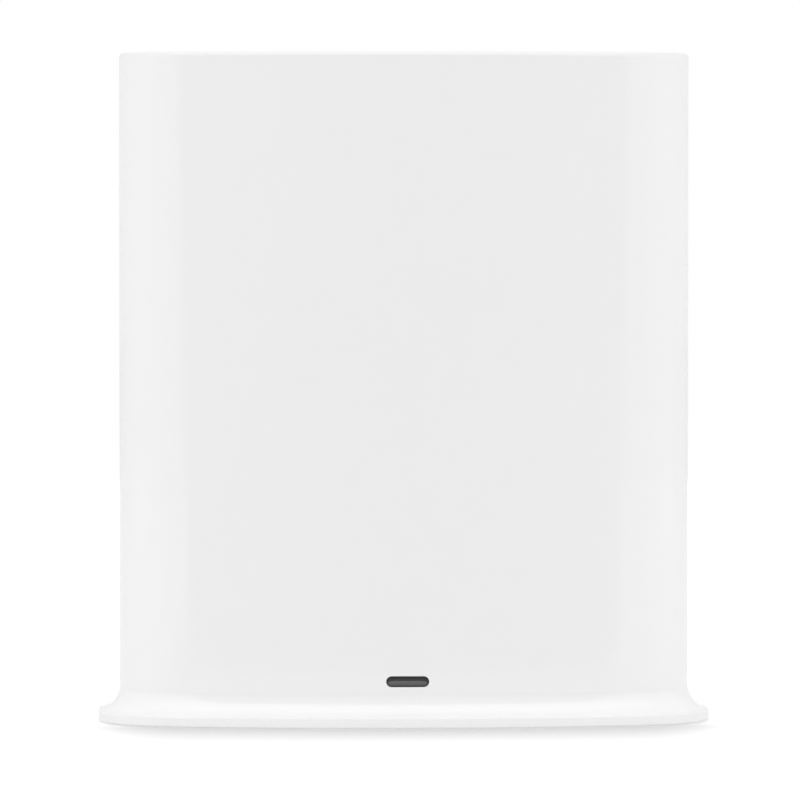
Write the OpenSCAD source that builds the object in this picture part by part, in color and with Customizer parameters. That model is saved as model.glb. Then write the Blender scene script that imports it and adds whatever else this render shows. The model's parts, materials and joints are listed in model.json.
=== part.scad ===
// Security camera base station: an upright hub with a bowed front, a flared foot, one status light in front,
// and the ports, buttons and siren at the back. Millimetres. +Z is up and the front faces -Y.
// The origin is on the table, under the middle of the foot.

/* [Housing] */
// Width of the body above the flare
body_w = 143.6; // [138:0.1:170]
// Depth of the body above the flare, front to back
body_d = 48; // [46:0.1:60]
// Height of the whole station, feet included
total_h = 168.3; // [164:0.1:200]
// Wall thickness of the shells
wall = 2.2; // [1.8:0.1:2.6]
// Radius of the upright corners at the front
front_corner_r = 17.4; // [14:0.1:19]
// Radius of the upright corners at the back
back_corner_r = 14.7; // [12:0.1:17]
// Radius round the edge of the top
top_edge_r = 1; // [0.4:0.1:1.6]
// How far behind the middle the two shells meet
seam_y = 3.5; // [1:0.1:4]
// How far the front shell's lip reaches into the rear shell
lip_l = 1.6; // [1:0.1:2]
// Thickness of that lip
lip_t = 0.9; // [0.6:0.1:1.1]
// Width of each snap hook at the top of the seam
snap_w = 10; // [6:0.5:14]

/* [Foot] */
// How far the foot flares out past the body
flare_w = 5.3; // [4:0.1:7]
// Height of the flare's curve
flare_h = 5.6; // [4:0.1:6.5]
// Height of the foot's rim
rim_h = 2.5; // [2.2:0.1:3]
// Thickness of the rim round the base plate
rim_wall = 1.8; // [1.4:0.1:2.4]
// Rounding of the rim's two edges
rim_edge_r = 0.3; // [0.1:0.05:0.5]
// Thickness of the base plate
plate_t = 1.8; // [1.6:0.1:2]
// Height of the rim above the table
foot_gap = 0.3; // [0.2:0.1:1.2]
// Diameter of a rubber foot
foot_dia = 10; // [8:0.5:11]
// Depth to which a rubber foot is let into the base plate
foot_seat = 0.9; // [0.4:0.1:1]

/* [Status light] */
// Width of the status window
lens_w = 10.7; // [8:0.1:14]
// Height of the status window
lens_h = 2.7; // [2.4:0.1:4]
// Height of the status window's centre
lens_z = 11.5; // [11.2:0.1:14]
// How far the window lies below the front's surface
lens_sink = 0.25; // [0.1:0.05:0.6]

/* [Rear panel] */
// Width of the port bay
bay_w = 104; // [102:0.5:106]
// Height of the port bay
bay_h = 19; // [18:0.5:21]
// Depth of the port bay
bay_depth = 1.2; // [0.8:0.1:1.6]
// Height of the row of ports
port_z = 21; // [20:0.1:23]
// Distance from one port to the next, measured in steps of the row
port_step = 21; // [20:0.5:22]
// How far the ports stand out of the bay's floor
port_proud = 0.4; // [0.2:0.1:0.8]
// Number of vent slots near the top
vent_count = 15; // [9:2:17]
// Width of a vent slot
vent_w = 1.8; // [1.2:0.1:2.2]
// Height of a vent slot
vent_h = 10; // [6:0.5:11]
// Distance between vent slots
vent_step = 5; // [4:0.1:5.5]
// Distance from the top of the station to the middle of the vents
vent_drop = 18; // [16:0.5:19]

/* [Buttons] */
// Diameter of the sync button
sync_dia = 11; // [9:0.5:13]
// Sideways place of the sync button
sync_x = 40; // [34:0.5:46]
// Height of the sync button
sync_z = 52; // [46:0.5:60]
// How far the sync button stands out
sync_proud = 0.9; // [0.7:0.1:1.4]
// Travel of the sync button
sync_travel = 0.5; // [0.3:0.1:0.6]
// Diameter of the power button
power_dia = 8; // [6:0.5:9]
// How far the power button stands out of the bay's floor
power_proud = 2.6; // [2.2:0.1:3]
// Travel of the power button
power_travel = 1.8; // [1:0.1:2]
// Diameter of the reset pin hole
reset_dia = 1.6; // [1.2:0.1:2.2]
// Travel of the reset switch
reset_travel = 0.3; // [0.2:0.05:0.4]

/* [Siren] */
// Height of the siren's centre
siren_z = 113; // [112.5:0.5:118]
// Diameter of the round grille
grille_dia = 40; // [36:0.5:42]
// Number of rings of holes round the grille's middle hole
grille_rings = 4; // [2:1:4]
// Distance between rings of holes
grille_step = 3.9; // [3.4:0.1:4]
// Diameter of a grille hole
grille_hole_dia = 1.8; // [1.2:0.1:2]
// Depth of the siren's basket behind its flange
basket_depth = 8; // [6:0.5:9]
// Diameter of the siren's magnet
magnet_dia = 22; // [16:0.5:23]
// Thickness of the siren's magnet
magnet_t = 5; // [3:0.5:6]

/* [Circuit board] */
// Width of the main board
board_w = 118; // [116:0.5:124]
// Height of the main board
board_h = 78; // [76:0.5:80]
// Thickness of the main board
board_t = 1.6; // [1:0.1:2]
// Height of the main board's lower edge
board_z = 7; // [6:0.1:8]
// Room between the main board and the inside of the back
board_gap = 12.8; // [12.4:0.1:14]
// Width and height of the heat sink
sink_size = 40; // [34:0.5:42]
// Number of the heat sink's fins
sink_fins = 9; // [5:1:11]
// Height of the heat sink's fins
sink_fin_h = 8; // [4:0.5:9]

/* [Fits] */
// Clearance between pieces that are fixed together
fit_gap = 0.1; // [0.05:0.01:0.2]
// Clearance round pieces that move
slide_gap = 0.2; // [0.1:0.01:0.3]

/* [Hidden] */
$fn = 48;
eps = 0.01;
// How far a cutting shape runs past the surface it cuts
cut = 1;
far = 400;

// The plan's bowed front is one arc that runs tangent into the two front corners
half_w = body_w / 2;
half_d = body_d / 2;
corner_x = half_w - front_corner_r;
bow_r = (half_d ^ 2 + corner_x ^ 2 - front_corner_r ^ 2) / (2 * (half_d - front_corner_r));
bow_y = bow_r - half_d;
bow_a = atan2(corner_x, bow_y);
back_x = half_w - back_corner_r;
back_y = half_d - back_corner_r;
bow_steps = 18;
corner_steps = 10;

// Heights, from the table up
rim_top = foot_gap + rim_h;
flare_top = rim_top + flare_h;
flare_power = 1.6;
flare_steps = 8;
edge_steps = 4;
plate_top = foot_gap + plate_t;
top_in = total_h - wall;

// Depths, from front to back
front_out = -half_d;
front_in = wall - half_d;
rear_out = half_d;
rear_in = half_d - wall;
bay_floor = rear_out - bay_depth;
bay_in = rear_in - bay_depth;
bay_pad_edge = 2;
bay_corner_r = 3;
port_face = bay_floor + port_proud;
board_back = rear_in - board_gap;
board_front = board_back - board_t;

// Screws: self-tapping, of two sizes
screw_r = 1.1;
screw_head_r = 2.2;
screw_head_h = 1.1;
screw_slot_w = 0.6;
screw_slot_l = screw_head_r * 1.2;
screw_slot_depth = 0.7;
boss_r = 3.2;
pilot_r = screw_r + fit_gap / 2;
pass_r = screw_r + fit_gap;
base_screw_l = 9;
base_boss_h = base_screw_l + cut;
board_screw_l = 7;

// The base plate's screws lie in the four corners, where their bosses grow out of the corner walls
boss_bite = 1.9;
front_boss_a = 50;
back_boss_a = 45;
front_boss_d = front_corner_r - wall - boss_bite;
back_boss_d = back_corner_r - wall - boss_bite;
front_boss = [corner_x + front_boss_d * cos(front_boss_a), -front_boss_d * sin(front_boss_a)];
back_boss = [back_x + back_boss_d * cos(back_boss_a), back_y + back_boss_d * sin(back_boss_a)];

// Rubber feet, clear of those screws
foot_inset_x = 22;
foot_inset_front = 9;
foot_inset_back = 6;
foot_x = half_w - foot_inset_x;
foot_ys = [foot_inset_front - half_d, half_d - foot_inset_back];
foot_places = [for (sx = [-1, 1], y = foot_ys) [sx * foot_x, y]];

// Snap hooks at the top of the seam
snap_inset = 32;
snap_x = half_w - snap_inset;
snap_l = 9;
snap_t = 1.5;
snap_root = 4;
snap_drop = 0.5;
snap_barb_l = 3;
snap_barb_h = 0.5;

// Status light
lens_flange = 1.2;
lens_flange_t = 1;
lens_flange_y = front_in + fit_gap * 2;
lens_back = lens_flange_y + lens_flange_t;
led_w = 3.2;
led_h = 2.4;
led_t = 1.6;
guide_inset = 0.3;
guide_w = lens_w - 2 * guide_inset;
guide_h = lens_h - 2 * guide_inset;
guide_back = board_front - led_t - fit_gap;
holder_wall = 1.4;

// Ports, in equal steps along the row, as seen from the front
power_jack_x = -2 * port_step;
power_x = -port_step;
usb_x = port_step;
reset_x = 2 * port_step;
jack_w = 16.2;
jack_h = 13.6;
jack_shell_t = 0.4;
plug_w = 11.9;
plug_h = 7;
plug_depth = 12;
plug_lift = 1.2;
latch_w = 6.4;
latch_h = 1.7;
contact_count = 8;
contact_step = 1.02;
contact_w = 0.5;
contact_t = 0.35;
contact_l = 9;
contact_a = 13;
contact_mouth = 2;
usb_w = 13.1;
usb_h = 5.7;
usb_t = 0.3;
tongue_w = 11.2;
tongue_t = 1.9;
tongue_sink = 1.5;
tongue_root = 2;
pad_count = 4;
pad_step = 2.4;
pad_w = 1;
pad_t = 0.15;
pad_l = 7;
pad_sink = 1;
power_jack_w = 9;
power_jack_h = 11;
barrel_r = 3.1;
barrel_depth = 10.4;
barrel_pin_r = 1;
barrel_pin_sink = 0.6;

// Switches on the back of the board
switch_w = 6;
switch_t = 4;
plunger_r = 1.7;
plunger_in = 1;
plunger_out = 1.3;
stem_r = 2;
button_flange = 1.2;
button_flange_t = 1;
dish_r = 30;
dish_depth = 0.25;
power_switch_w = 8;
power_switch_t = 6;
power_plunger_w = 3.2;
power_plunger_spare = 0.4;
power_plunger_out = power_travel + power_plunger_spare;

// Siren, from the grille inwards
grille_flange = 2.5;
grille_flange_t = 1;
gasket_t = 1;
gasket_w = 4;
siren_seat = rear_in - grille_flange_t - gasket_t;
siren_w = grille_dia + 6;
siren_corner_r = 4;
siren_flange_t = 2;
siren_screw_inset = 3.5;
siren_screw_bite = 3;
siren_screw_x = siren_w / 2 - siren_screw_inset;
siren_screw_l = siren_flange_t + siren_screw_bite;
siren_pilot_floor = siren_seat + siren_screw_bite + fit_gap;
cone_r = grille_dia / 2 - 1;
basket_t = 1.3;
basket_floor_r = magnet_dia / 2 + basket_t;
cone_t = 0.5;
cone_cap_r = 6;
cone_cap_h = 2;
cone_clear = 0.2;
lead_r = 0.55;
lead_x = -12;
lead_pair = 1.6;
lead_steps = 10;
lead_inset = 2;
lead_bend = 4;
lead_reach = 6;
siren_plug_w = 7.5;
siren_plug_h = 5.8;
siren_plug_t = 6;
siren_plug_inset = 3;
siren_plug_x = -34;
siren_plug_z = board_z + board_h - siren_plug_h / 2 - siren_plug_inset;

// Chips and coolers on the front of the board, placed from its middle
sink_x = 0;
sink_lift = 10;
sink_z = board_z + board_h / 2 + sink_lift;
chip_w = 17;
chip_t = 1.4;
pad_gap_t = 1;
sink_base_t = 2;
fin_t = 1.2;
sink_face = board_front - chip_t - pad_gap_t;
pin_r = 1.3;
pin_head_r = 2.6;
pin_head_t = 1.2;
pin_tip_l = 2;
pin_barb_r = 1.95;
pin_point_r = 1.05;
pin_inset = 3.4;
can_w = 26;
can_h = 28;
can_t = 2.6;
can_wall = 0.4;
can_inset = 19;
can_x = board_w / 2 - can_inset;
can_lift = 42;
can_z = board_z + can_lift;
transformer_w = 15;
transformer_t = 5.5;
transformer_h = 11;
transformer_lift = 19;
transformer_z = board_z + transformer_lift;
inductor_w = 10;
inductor_t = 5;
inductor_x = -20;
memory_w = 14;
memory_t = 1.2;
memory_h = 10;
memory_x = 30;
parts_lift = 17;
parts_z = board_z + parts_lift;
capacitor_r = 4;
capacitor_l = 10;
capacitor_out = 44;
capacitor_step = 11;
capacitor_x = [-capacitor_out, capacitor_step - capacitor_out];

// Antennas: two on the inside of the front, one under the top
antenna_w = 12;
antenna_h = 52;
antenna_t = 0.8;
foam_t = 0.8;
antenna_drop = 20;
antenna_a = 11.4;
antenna_wall_gap = 0.15;
antenna_z = total_h - antenna_drop - antenna_h;
antenna_back_r = bow_r - wall - antenna_wall_gap - foam_t - antenna_t;
top_antenna_w = 60;
top_antenna_d = 10;
top_antenna_y = -11;
coax_r = 0.6;
coax_steps = 22;
coax_sides = 8;
coax_plug_r = 1.5;
coax_plug_t = 1.6;
coax_plug_inset = 10;
coax_plug_z = board_z + board_h - coax_plug_inset;
coax_plug_out = 46;
top_coax_plug_x = 32;
coax_plug_x = [-coax_plug_out, coax_plug_out, top_coax_plug_x];
coax_feed_inset = 4;
coax_bend = 14;
top_coax_drop = 40;

board_hole_inset = 5;
board_hole_z = [board_z + board_hole_inset, board_z + board_h - board_hole_inset];
board_holes = [for (sx = [-1, 1], z = board_hole_z) [sx * (board_w / 2 - board_hole_inset), z]];
siren_holes = [for (sx = [-1, 1], sz = [-1, 1]) [sx * siren_screw_x, siren_z + sz * siren_screw_x]];
sink_hole_d = sink_size / 2 - pin_inset;
sink_holes = [for (s = [-1, 1]) [sink_x + s * sink_hole_d, sink_z + s * sink_hole_d]];

// Plan outline and lofted skin

function arc(cx, cy, r, from, to, steps) =
    [for (i = [0:steps]) let (a = from + (to - from) * i / steps) [cx + r * cos(a), cy + r * sin(a)]];

function inner_points(points) = [for (i = [1:len(points) - 2]) points[i]];

// The body's plan, moved outwards by grow
function outline(grow) = concat(
    arc(-corner_x, 0, front_corner_r + grow, 180, 270 - bow_a, corner_steps),
    inner_points(arc(0, bow_y, bow_r + grow, 270 - bow_a, 270 + bow_a, bow_steps)),
    arc(corner_x, 0, front_corner_r + grow, 270 + bow_a, 360, corner_steps),
    arc(back_x, back_y, back_corner_r + grow, 0, 90, corner_steps),
    arc(-back_x, back_y, back_corner_r + grow, 90, 180, corner_steps)
);

function ring(grow, z) = [for (p = outline(grow)) [p.x, p.y, z]];

// Rings of the foot's rim, its concave flare, the upright body and the rounded top edge
function skin_rings() = concat(
    [
        ring(flare_w - rim_edge_r, foot_gap),
        ring(flare_w, foot_gap + rim_edge_r),
        ring(flare_w, rim_top - rim_edge_r)
    ],
    [
        for (i = [0:flare_steps])
            let (a = 90 * i / flare_steps, p = 2 / flare_power)
            ring((flare_w - rim_edge_r) * (1 - sin(a) ^ p), rim_top + flare_h * (1 - cos(a) ^ p))
    ],
    [
        for (i = [0:edge_steps])
            let (a = 90 * i / edge_steps)
            ring(-top_edge_r * (1 - cos(a)), total_h - top_edge_r * (1 - sin(a)))
    ]
);

// A closed skin over rings that have the same number of points
module loft(rings) {
    n = len(rings[0]);
    last = len(rings) - 1;
    sides = [
        for (i = [0:last - 1], j = [0:n - 1])
            let (a = i * n + j, b = i * n + (j + 1) % n)
            each [[a, a + n, b + n], [a, b + n, b]]
    ];
    lower_cap = [[for (j = [0:n - 1]) j]];
    upper_cap = [[for (j = [n - 1:-1:0]) last * n + j]];
    polyhedron([for (r = rings) each r], concat(lower_cap, sides, upper_cap), convexity = 6);
}

module plan_prism(grow, from, to) {
    translate([0, 0, from])
        linear_extrude(to - from)
            polygon(outline(grow));
}

// The room inside walls of the given thickness
module room(thickness) {
    plan_prism(-thickness, plate_top, total_h - thickness);
}

module housing_wall() {
    difference() {
        loft(skin_rings());
        room(wall);
        plan_prism(flare_w - rim_wall, 0, plate_top + eps);
    }
}

module slab(from, to) {
    translate([-far / 2, from, -far / 2])
        cube([far, to - from, far]);
}

// Shapes that run from front to back

module box_y(w, h, from, to) {
    translate([-w / 2, from, -h / 2])
        cube([w, to - from, h]);
}

module rod_y(r, from, to) {
    translate([0, from, 0])
        rotate([-90, 0, 0])
            cylinder(r = r, h = to - from);
}

module slot_y(w, h, from, to) {
    box_y(w - h, h, from, to);
    for (s = [-1, 1])
        translate([s * (w - h) / 2, 0, 0])
            rod_y(h / 2, from, to);
}

module round_box_y(w, h, r, from, to) {
    box_y(w - 2 * r, h, from, to);
    box_y(w, h - 2 * r, from, to);
    for (sx = [-1, 1], sz = [-1, 1])
        translate([sx * (w / 2 - r), 0, sz * (h / 2 - r)])
            rod_y(r, from, to);
}

module at(x, z) {
    translate([x, 0, z])
        children();
}

module at_each(places) {
    for (p = places)
        at(p.x, p.y)
            children();
}

// A cross-head screw along +Z with the underside of its head at the origin
module screw(l) {
    difference() {
        union() {
            translate([0, 0, -screw_head_h])
                cylinder(r = screw_head_r, h = screw_head_h);
            cylinder(r = screw_r, h = l);
        }
        for (a = [0, 90])
            rotate([0, 0, a])
                translate([-screw_slot_l / 2, -screw_slot_w / 2, -screw_head_h - eps])
                    cube([screw_slot_l, screw_slot_w, screw_slot_depth]);
    }
}

module screw_y(l, head_y) {
    translate([0, head_y, 0])
        rotate([-90, 0, 0])
            screw(l);
}

// Tubes along a curve

function bezier(p, t) =
    (1 - t) ^ 3 * p[0] + 3 * t * (1 - t) ^ 2 * p[1] + 3 * t ^ 2 * (1 - t) * p[2] + t ^ 3 * p[3];

function bezier_slope(p, t) =
    (1 - t) ^ 2 * (p[1] - p[0]) + 2 * t * (1 - t) * (p[2] - p[1]) + t ^ 2 * (p[3] - p[2]);

function unit(v) = v / norm(v);

function tube_ring(p, t, r, sides, across) =
    let (
        along = unit(bezier_slope(p, t)),
        side = unit(cross(along, across)),
        up = cross(side, along)
    )
    [for (k = [0:sides - 1]) bezier(p, t) + r * (cos(360 * k / sides) * side + sin(360 * k / sides) * up)];

// A tube that never runs along the given direction
module tube(p, r, steps, sides, across) {
    loft([for (i = [0:steps]) tube_ring(p, i / steps, r, sides, across)]);
}

// Housing

module base_boss(place) {
    translate([place.x, place.y, plate_top])
        cylinder(r = boss_r, h = base_boss_h);
}

module base_pilot(place) {
    translate([place.x, place.y, plate_top - eps])
        cylinder(r = pilot_r, h = base_screw_l);
}

module mirrored_x() {
    children();
    mirror([1, 0, 0])
        children();
}

module snap_hook() {
    y_tip = seam_y + snap_l;
    translate([-snap_w / 2, seam_y - snap_root, top_in - snap_drop - snap_t])
        cube([snap_w, snap_root + snap_l, snap_t]);
    translate([-snap_w / 2, seam_y - snap_root, top_in - snap_drop - snap_t])
        cube([snap_w, snap_root, snap_t + snap_drop + wall / 2]);
    translate([-snap_w / 2, y_tip - snap_barb_l, top_in - snap_drop - snap_t])
        cube([snap_w, snap_barb_l, snap_t + snap_drop + snap_barb_h]);
}

module snap_pocket() {
    y_tip = seam_y + snap_l;
    translate([-snap_w / 2 - slide_gap, y_tip - snap_barb_l - slide_gap, top_in - snap_drop])
        cube([snap_w + 2 * slide_gap, snap_barb_l + 2 * slide_gap, snap_drop + snap_barb_h + slide_gap]);
}

module front_shell() {
    color("whitesmoke")
        difference() {
            union() {
                intersection() {
                    housing_wall();
                    slab(-far / 2, seam_y);
                }
                intersection() {
                    difference() {
                        room(wall - lip_t);
                        room(wall);
                    }
                    slab(seam_y - lip_l, seam_y + lip_l);
                }
                mirrored_x() {
                    base_boss(front_boss);
                    at(snap_x, 0)
                        snap_hook();
                }
            }
            mirrored_x()
                base_pilot(front_boss);
            at(0, lens_z)
                slot_y(lens_w, lens_h, front_out - cut, front_in + cut);
        }
}

module vent_slots() {
    for (i = [0:vent_count - 1])
        at((i - (vent_count - 1) / 2) * vent_step, total_h - vent_drop)
            rotate([0, 90, 0])
                slot_y(vent_h, vent_w, rear_in - cut, rear_out + cut);
}

module port_openings() {
    at(power_jack_x, port_z)
        box_y(power_jack_w + 2 * fit_gap, power_jack_h + 2 * fit_gap, bay_in - cut, rear_out);
    at(power_x, port_z)
        rod_y(power_dia / 2 + slide_gap, bay_in - cut, rear_out);
    at(0, port_z)
        box_y(jack_w + 2 * fit_gap, jack_h + 2 * fit_gap, bay_in - cut, rear_out);
    at(usb_x, port_z)
        box_y(usb_w + 2 * fit_gap, usb_h + 2 * fit_gap, bay_in - cut, rear_out);
    at(reset_x, port_z)
        rod_y(reset_dia / 2, bay_in - cut, rear_out);
}

module rear_shell() {
    color("whitesmoke")
        difference() {
            union() {
                intersection() {
                    housing_wall();
                    slab(seam_y, far / 2);
                }
                at(0, port_z)
                    box_y(bay_w + 2 * bay_pad_edge, bay_h + 2 * bay_pad_edge, bay_in, rear_in + eps);
                at_each(board_holes)
                    rod_y(boss_r, board_back, rear_in + eps);
                at_each(siren_holes)
                    rod_y(boss_r, siren_seat, rear_in + eps);
                mirrored_x()
                    base_boss(back_boss);
            }
            intersection() {
                room(wall - lip_t - fit_gap);
                slab(seam_y - cut, seam_y + lip_l + fit_gap);
            }
            mirrored_x() {
                base_pilot(back_boss);
                at(snap_x, 0)
                    snap_pocket();
            }
            at(0, port_z)
                round_box_y(bay_w, bay_h, bay_corner_r, bay_floor, rear_out + cut);
            port_openings();
            at(sync_x, sync_z)
                rod_y(sync_dia / 2 + slide_gap, rear_in - cut, rear_out + cut);
            at(0, siren_z)
                rod_y(grille_dia / 2, rear_in - cut, rear_out + cut);
            vent_slots();
            at_each(board_holes)
                rod_y(pilot_r, board_back - eps, board_back + board_screw_l);
            at_each(siren_holes)
                rod_y(pilot_r, siren_seat - eps, siren_pilot_floor);
        }
}

module base_plate() {
    color("gainsboro")
        difference() {
            plan_prism(flare_w - rim_wall - fit_gap, foot_gap, plate_top);
            for (p = foot_places)
                translate([p.x, p.y, foot_gap - cut])
                    cylinder(r = foot_dia / 2 + fit_gap, h = foot_seat + cut);
            mirrored_x()
                for (p = [front_boss, back_boss])
                    translate([p.x, p.y, 0]) {
                        cylinder(r = pass_r, h = plate_top + cut);
                        cylinder(r = screw_head_r + fit_gap, h = foot_gap + screw_head_h);
                    }
        }
}

module rubber_feet() {
    color("dimgray")
        for (p = foot_places)
            translate([p.x, p.y, 0])
                cylinder(r = foot_dia / 2, h = foot_gap + foot_seat);
}

module base_screws() {
    color("silver")
        mirrored_x()
            for (p = [front_boss, back_boss])
                translate([p.x, p.y, foot_gap + screw_head_h])
                    screw(base_screw_l - plate_t + screw_head_h);
}

// Status light

module status_lens() {
    color("dimgray")
        at(0, lens_z) {
            slot_y(lens_w - 2 * fit_gap, lens_h - 2 * fit_gap, front_out + lens_sink, lens_back);
            slot_y(lens_w + 2 * lens_flange, lens_h + 2 * lens_flange, lens_flange_y, lens_back);
        }
}

module light_guide() {
    color("lightcyan")
        at(0, lens_z)
            slot_y(guide_w, guide_h, lens_back, guide_back);
}

module light_guide_holder() {
    around = 2 * holder_wall;
    color("black")
        at(0, lens_z)
            difference() {
                box_y(guide_w + around, guide_h + around, lens_back + fit_gap, board_front);
                slot_y(guide_w + 2 * fit_gap, guide_h + 2 * fit_gap, lens_back, board_front + cut);
                box_y(led_w + 2 * fit_gap, led_h + 2 * fit_gap, guide_back, board_front + cut);
            }
}

module status_led() {
    color("ivory")
        at(0, lens_z)
            box_y(led_w, led_h, board_front - led_t, board_front);
}

// Main board and what is soldered or clamped to it

module main_board() {
    color("seagreen")
        difference() {
            at(0, board_z + board_h / 2)
                box_y(board_w, board_h, board_front, board_back);
            at_each(board_holes)
                rod_y(pass_r, board_front - cut, board_back + cut);
            at_each(sink_holes)
                rod_y(pin_r + fit_gap, board_front - cut, board_back + cut);
        }
}

module board_screws() {
    color("silver")
        at_each(board_holes)
            screw_y(board_t + board_screw_l - fit_gap, board_front);
}

module processor() {
    color("black")
        at(sink_x, sink_z)
            box_y(chip_w, chip_w, board_front - chip_t, board_front);
}

module thermal_pad() {
    color("lightsteelblue")
        at(sink_x, sink_z)
            box_y(chip_w, chip_w, sink_face, board_front - chip_t);
}

module heat_sink() {
    fin_step = (sink_size - fin_t) / (sink_fins - 1);
    fin_root = sink_face - sink_base_t;
    color("silver")
        difference() {
            at(sink_x, sink_z) {
                box_y(sink_size, sink_size, fin_root, sink_face);
                for (i = [0:sink_fins - 1])
                    translate([i * fin_step - (sink_size - fin_t) / 2, 0, 0])
                        box_y(fin_t, sink_size, fin_root - sink_fin_h, fin_root + eps);
            }
            at_each(sink_holes) {
                rod_y(pin_r + fit_gap, sink_face - far, sink_face + cut);
                rod_y(pin_head_r + fit_gap, sink_face - far, fin_root);
            }
        }
}

module heat_sink_pins() {
    color("white")
        at_each(sink_holes) {
            rod_y(pin_head_r, sink_face - sink_base_t - pin_head_t, sink_face - sink_base_t);
            rod_y(pin_r, sink_face - sink_base_t, board_back + pin_tip_l);
            translate([0, board_back + fit_gap, 0])
                rotate([-90, 0, 0])
                    cylinder(r1 = pin_barb_r, r2 = pin_point_r, h = pin_tip_l);
        }
}

module shield_can(x) {
    roof_y = board_front - can_t;
    inside = 2 * can_wall;
    color("silver")
        at(x, can_z)
            difference() {
                box_y(can_w, can_h, roof_y, board_front);
                box_y(can_w - inside, can_h - inside, roof_y + can_wall, board_front + cut);
            }
}

module shield_can_left() {
    shield_can(-can_x);
}

module shield_can_right() {
    shield_can(can_x);
}

module block_on_board(w, h, t, x, z) {
    at(x, z)
        box_y(w, h, board_front - t, board_front);
}

module network_transformer() {
    color("black")
        block_on_board(transformer_w, transformer_h, transformer_t, 0, transformer_z);
}

module inductor() {
    color("dimgray")
        block_on_board(inductor_w, inductor_w, inductor_t, inductor_x, parts_z);
}

module memory_chip() {
    color("black")
        block_on_board(memory_w, memory_h, memory_t, memory_x, parts_z);
}

module capacitors() {
    color("midnightblue")
        for (x = capacitor_x)
            at(x, parts_z)
                rod_y(capacitor_r, board_front - capacitor_l, board_front);
}

// Ports

module plug_way(from, to) {
    at(0, plug_lift)
        box_y(plug_w, plug_h, from, to);
    at(0, plug_lift - plug_h / 2 - latch_h / 2 + eps)
        box_y(latch_w, latch_h, from, to);
}

module ethernet_jack_shell() {
    inside = 2 * jack_shell_t;
    color("silver")
        at(0, port_z)
            difference() {
                box_y(jack_w, jack_h, board_back, port_face);
                box_y(jack_w - inside, jack_h - inside, board_back - cut, port_face - jack_shell_t);
                plug_way(port_face - cut, port_face + cut);
            }
}

module ethernet_jack_insert() {
    inside = 2 * (jack_shell_t + fit_gap);
    color("black")
        at(0, port_z)
            difference() {
                box_y(jack_w - inside, jack_h - inside, board_back, port_face - jack_shell_t - fit_gap);
                plug_way(port_face - plug_depth, port_face);
            }
}

module ethernet_contacts() {
    color("gold")
        at(0, port_z + plug_lift + plug_h / 2 - contact_t - fit_gap)
            for (i = [0:contact_count - 1])
                translate([(i - (contact_count - 1) / 2) * contact_step, port_face - contact_mouth, 0])
                    rotate([contact_a, 0, 0])
                        translate([-contact_w / 2, -contact_l, 0])
                            cube([contact_w, contact_l, contact_t]);
}

module usb_shell() {
    color("silver")
        at(usb_x, port_z)
            difference() {
                box_y(usb_w, usb_h, board_back, port_face);
                box_y(usb_w - 2 * usb_t, usb_h - 2 * usb_t, board_back - cut, port_face + cut);
            }
}

module usb_tongue() {
    inside = 2 * (usb_t + fit_gap);
    color("white")
        at(usb_x, port_z) {
            box_y(usb_w - inside, usb_h - inside, board_back, board_back + tongue_root);
            at(0, tongue_t / 2)
                box_y(tongue_w, tongue_t, board_back, port_face - tongue_sink);
        }
}

module usb_contacts() {
    pad_y = port_face - tongue_sink - pad_sink;
    color("gold")
        at(usb_x, port_z - pad_t / 2 - fit_gap / 2)
            for (i = [0:pad_count - 1])
                at((i - (pad_count - 1) / 2) * pad_step, 0)
                    box_y(pad_w, pad_t, pad_y - pad_l, pad_y);
}

module power_jack() {
    color("black")
        at(power_jack_x, port_z)
            difference() {
                box_y(power_jack_w, power_jack_h, board_back, port_face);
                rod_y(barrel_r, port_face - barrel_depth, port_face + cut);
            }
}

module power_jack_pin() {
    color("silver")
        at(power_jack_x, port_z)
            rod_y(barrel_pin_r, port_face - barrel_depth, port_face - barrel_pin_sink);
}

// Buttons and their switches

// A round cap that shows through a hole, with a flange behind the wall and a stem down to its switch
module button(dia, wall_y, face_y, stem_y) {
    flange_y = wall_y - slide_gap;
    difference() {
        union() {
            rod_y(dia / 2, flange_y - button_flange_t, face_y);
            rod_y(dia / 2 + button_flange, flange_y - button_flange_t, flange_y);
            rod_y(stem_r, stem_y, flange_y);
        }
        translate([0, face_y + dish_r - dish_depth, 0])
            sphere(r = dish_r, $fn = 96);
    }
}

module switch_body(w, t, hole_r, hole_depth) {
    difference() {
        box_y(w, w, board_back, board_back + t);
        rod_y(hole_r, board_back + t - hole_depth, board_back + t + cut);
    }
}

module sync_button() {
    color("whitesmoke")
        at(sync_x, sync_z)
            button(sync_dia, rear_in, rear_out + sync_proud, board_back + switch_t + plunger_out);
}

module sync_switch() {
    color("black")
        at(sync_x, sync_z)
            switch_body(switch_w, switch_t, plunger_r + slide_gap, plunger_in + sync_travel + slide_gap);
}

module sync_plunger() {
    color("darkslategray")
        at(sync_x, sync_z)
            rod_y(plunger_r, board_back + switch_t - plunger_in, board_back + switch_t + plunger_out);
}

module power_button() {
    stem_y = board_back + power_switch_t + power_plunger_out;
    color("whitesmoke")
        at(power_x, port_z)
            button(power_dia, bay_in, bay_floor + power_proud, stem_y);
}

module power_switch() {
    top = board_back + power_switch_t;
    hole_w = power_plunger_w + 2 * slide_gap;
    color("black")
        at(power_x, port_z)
            difference() {
                box_y(power_switch_w, power_switch_w, board_back, top);
                box_y(hole_w, hole_w, top - plunger_in - power_travel - slide_gap, top + cut);
            }
}

module power_plunger() {
    top = board_back + power_switch_t;
    color("darkslategray")
        at(power_x, port_z)
            box_y(power_plunger_w, power_plunger_w, top - plunger_in, top + power_plunger_out);
}

module reset_switch() {
    color("black")
        at(reset_x, port_z)
            switch_body(switch_w, switch_t, plunger_r + slide_gap, plunger_in + reset_travel + slide_gap);
}

module reset_plunger() {
    color("darkslategray")
        at(reset_x, port_z)
            rod_y(plunger_r, board_back + switch_t - plunger_in, bay_in - slide_gap);
}

// Siren

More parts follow.
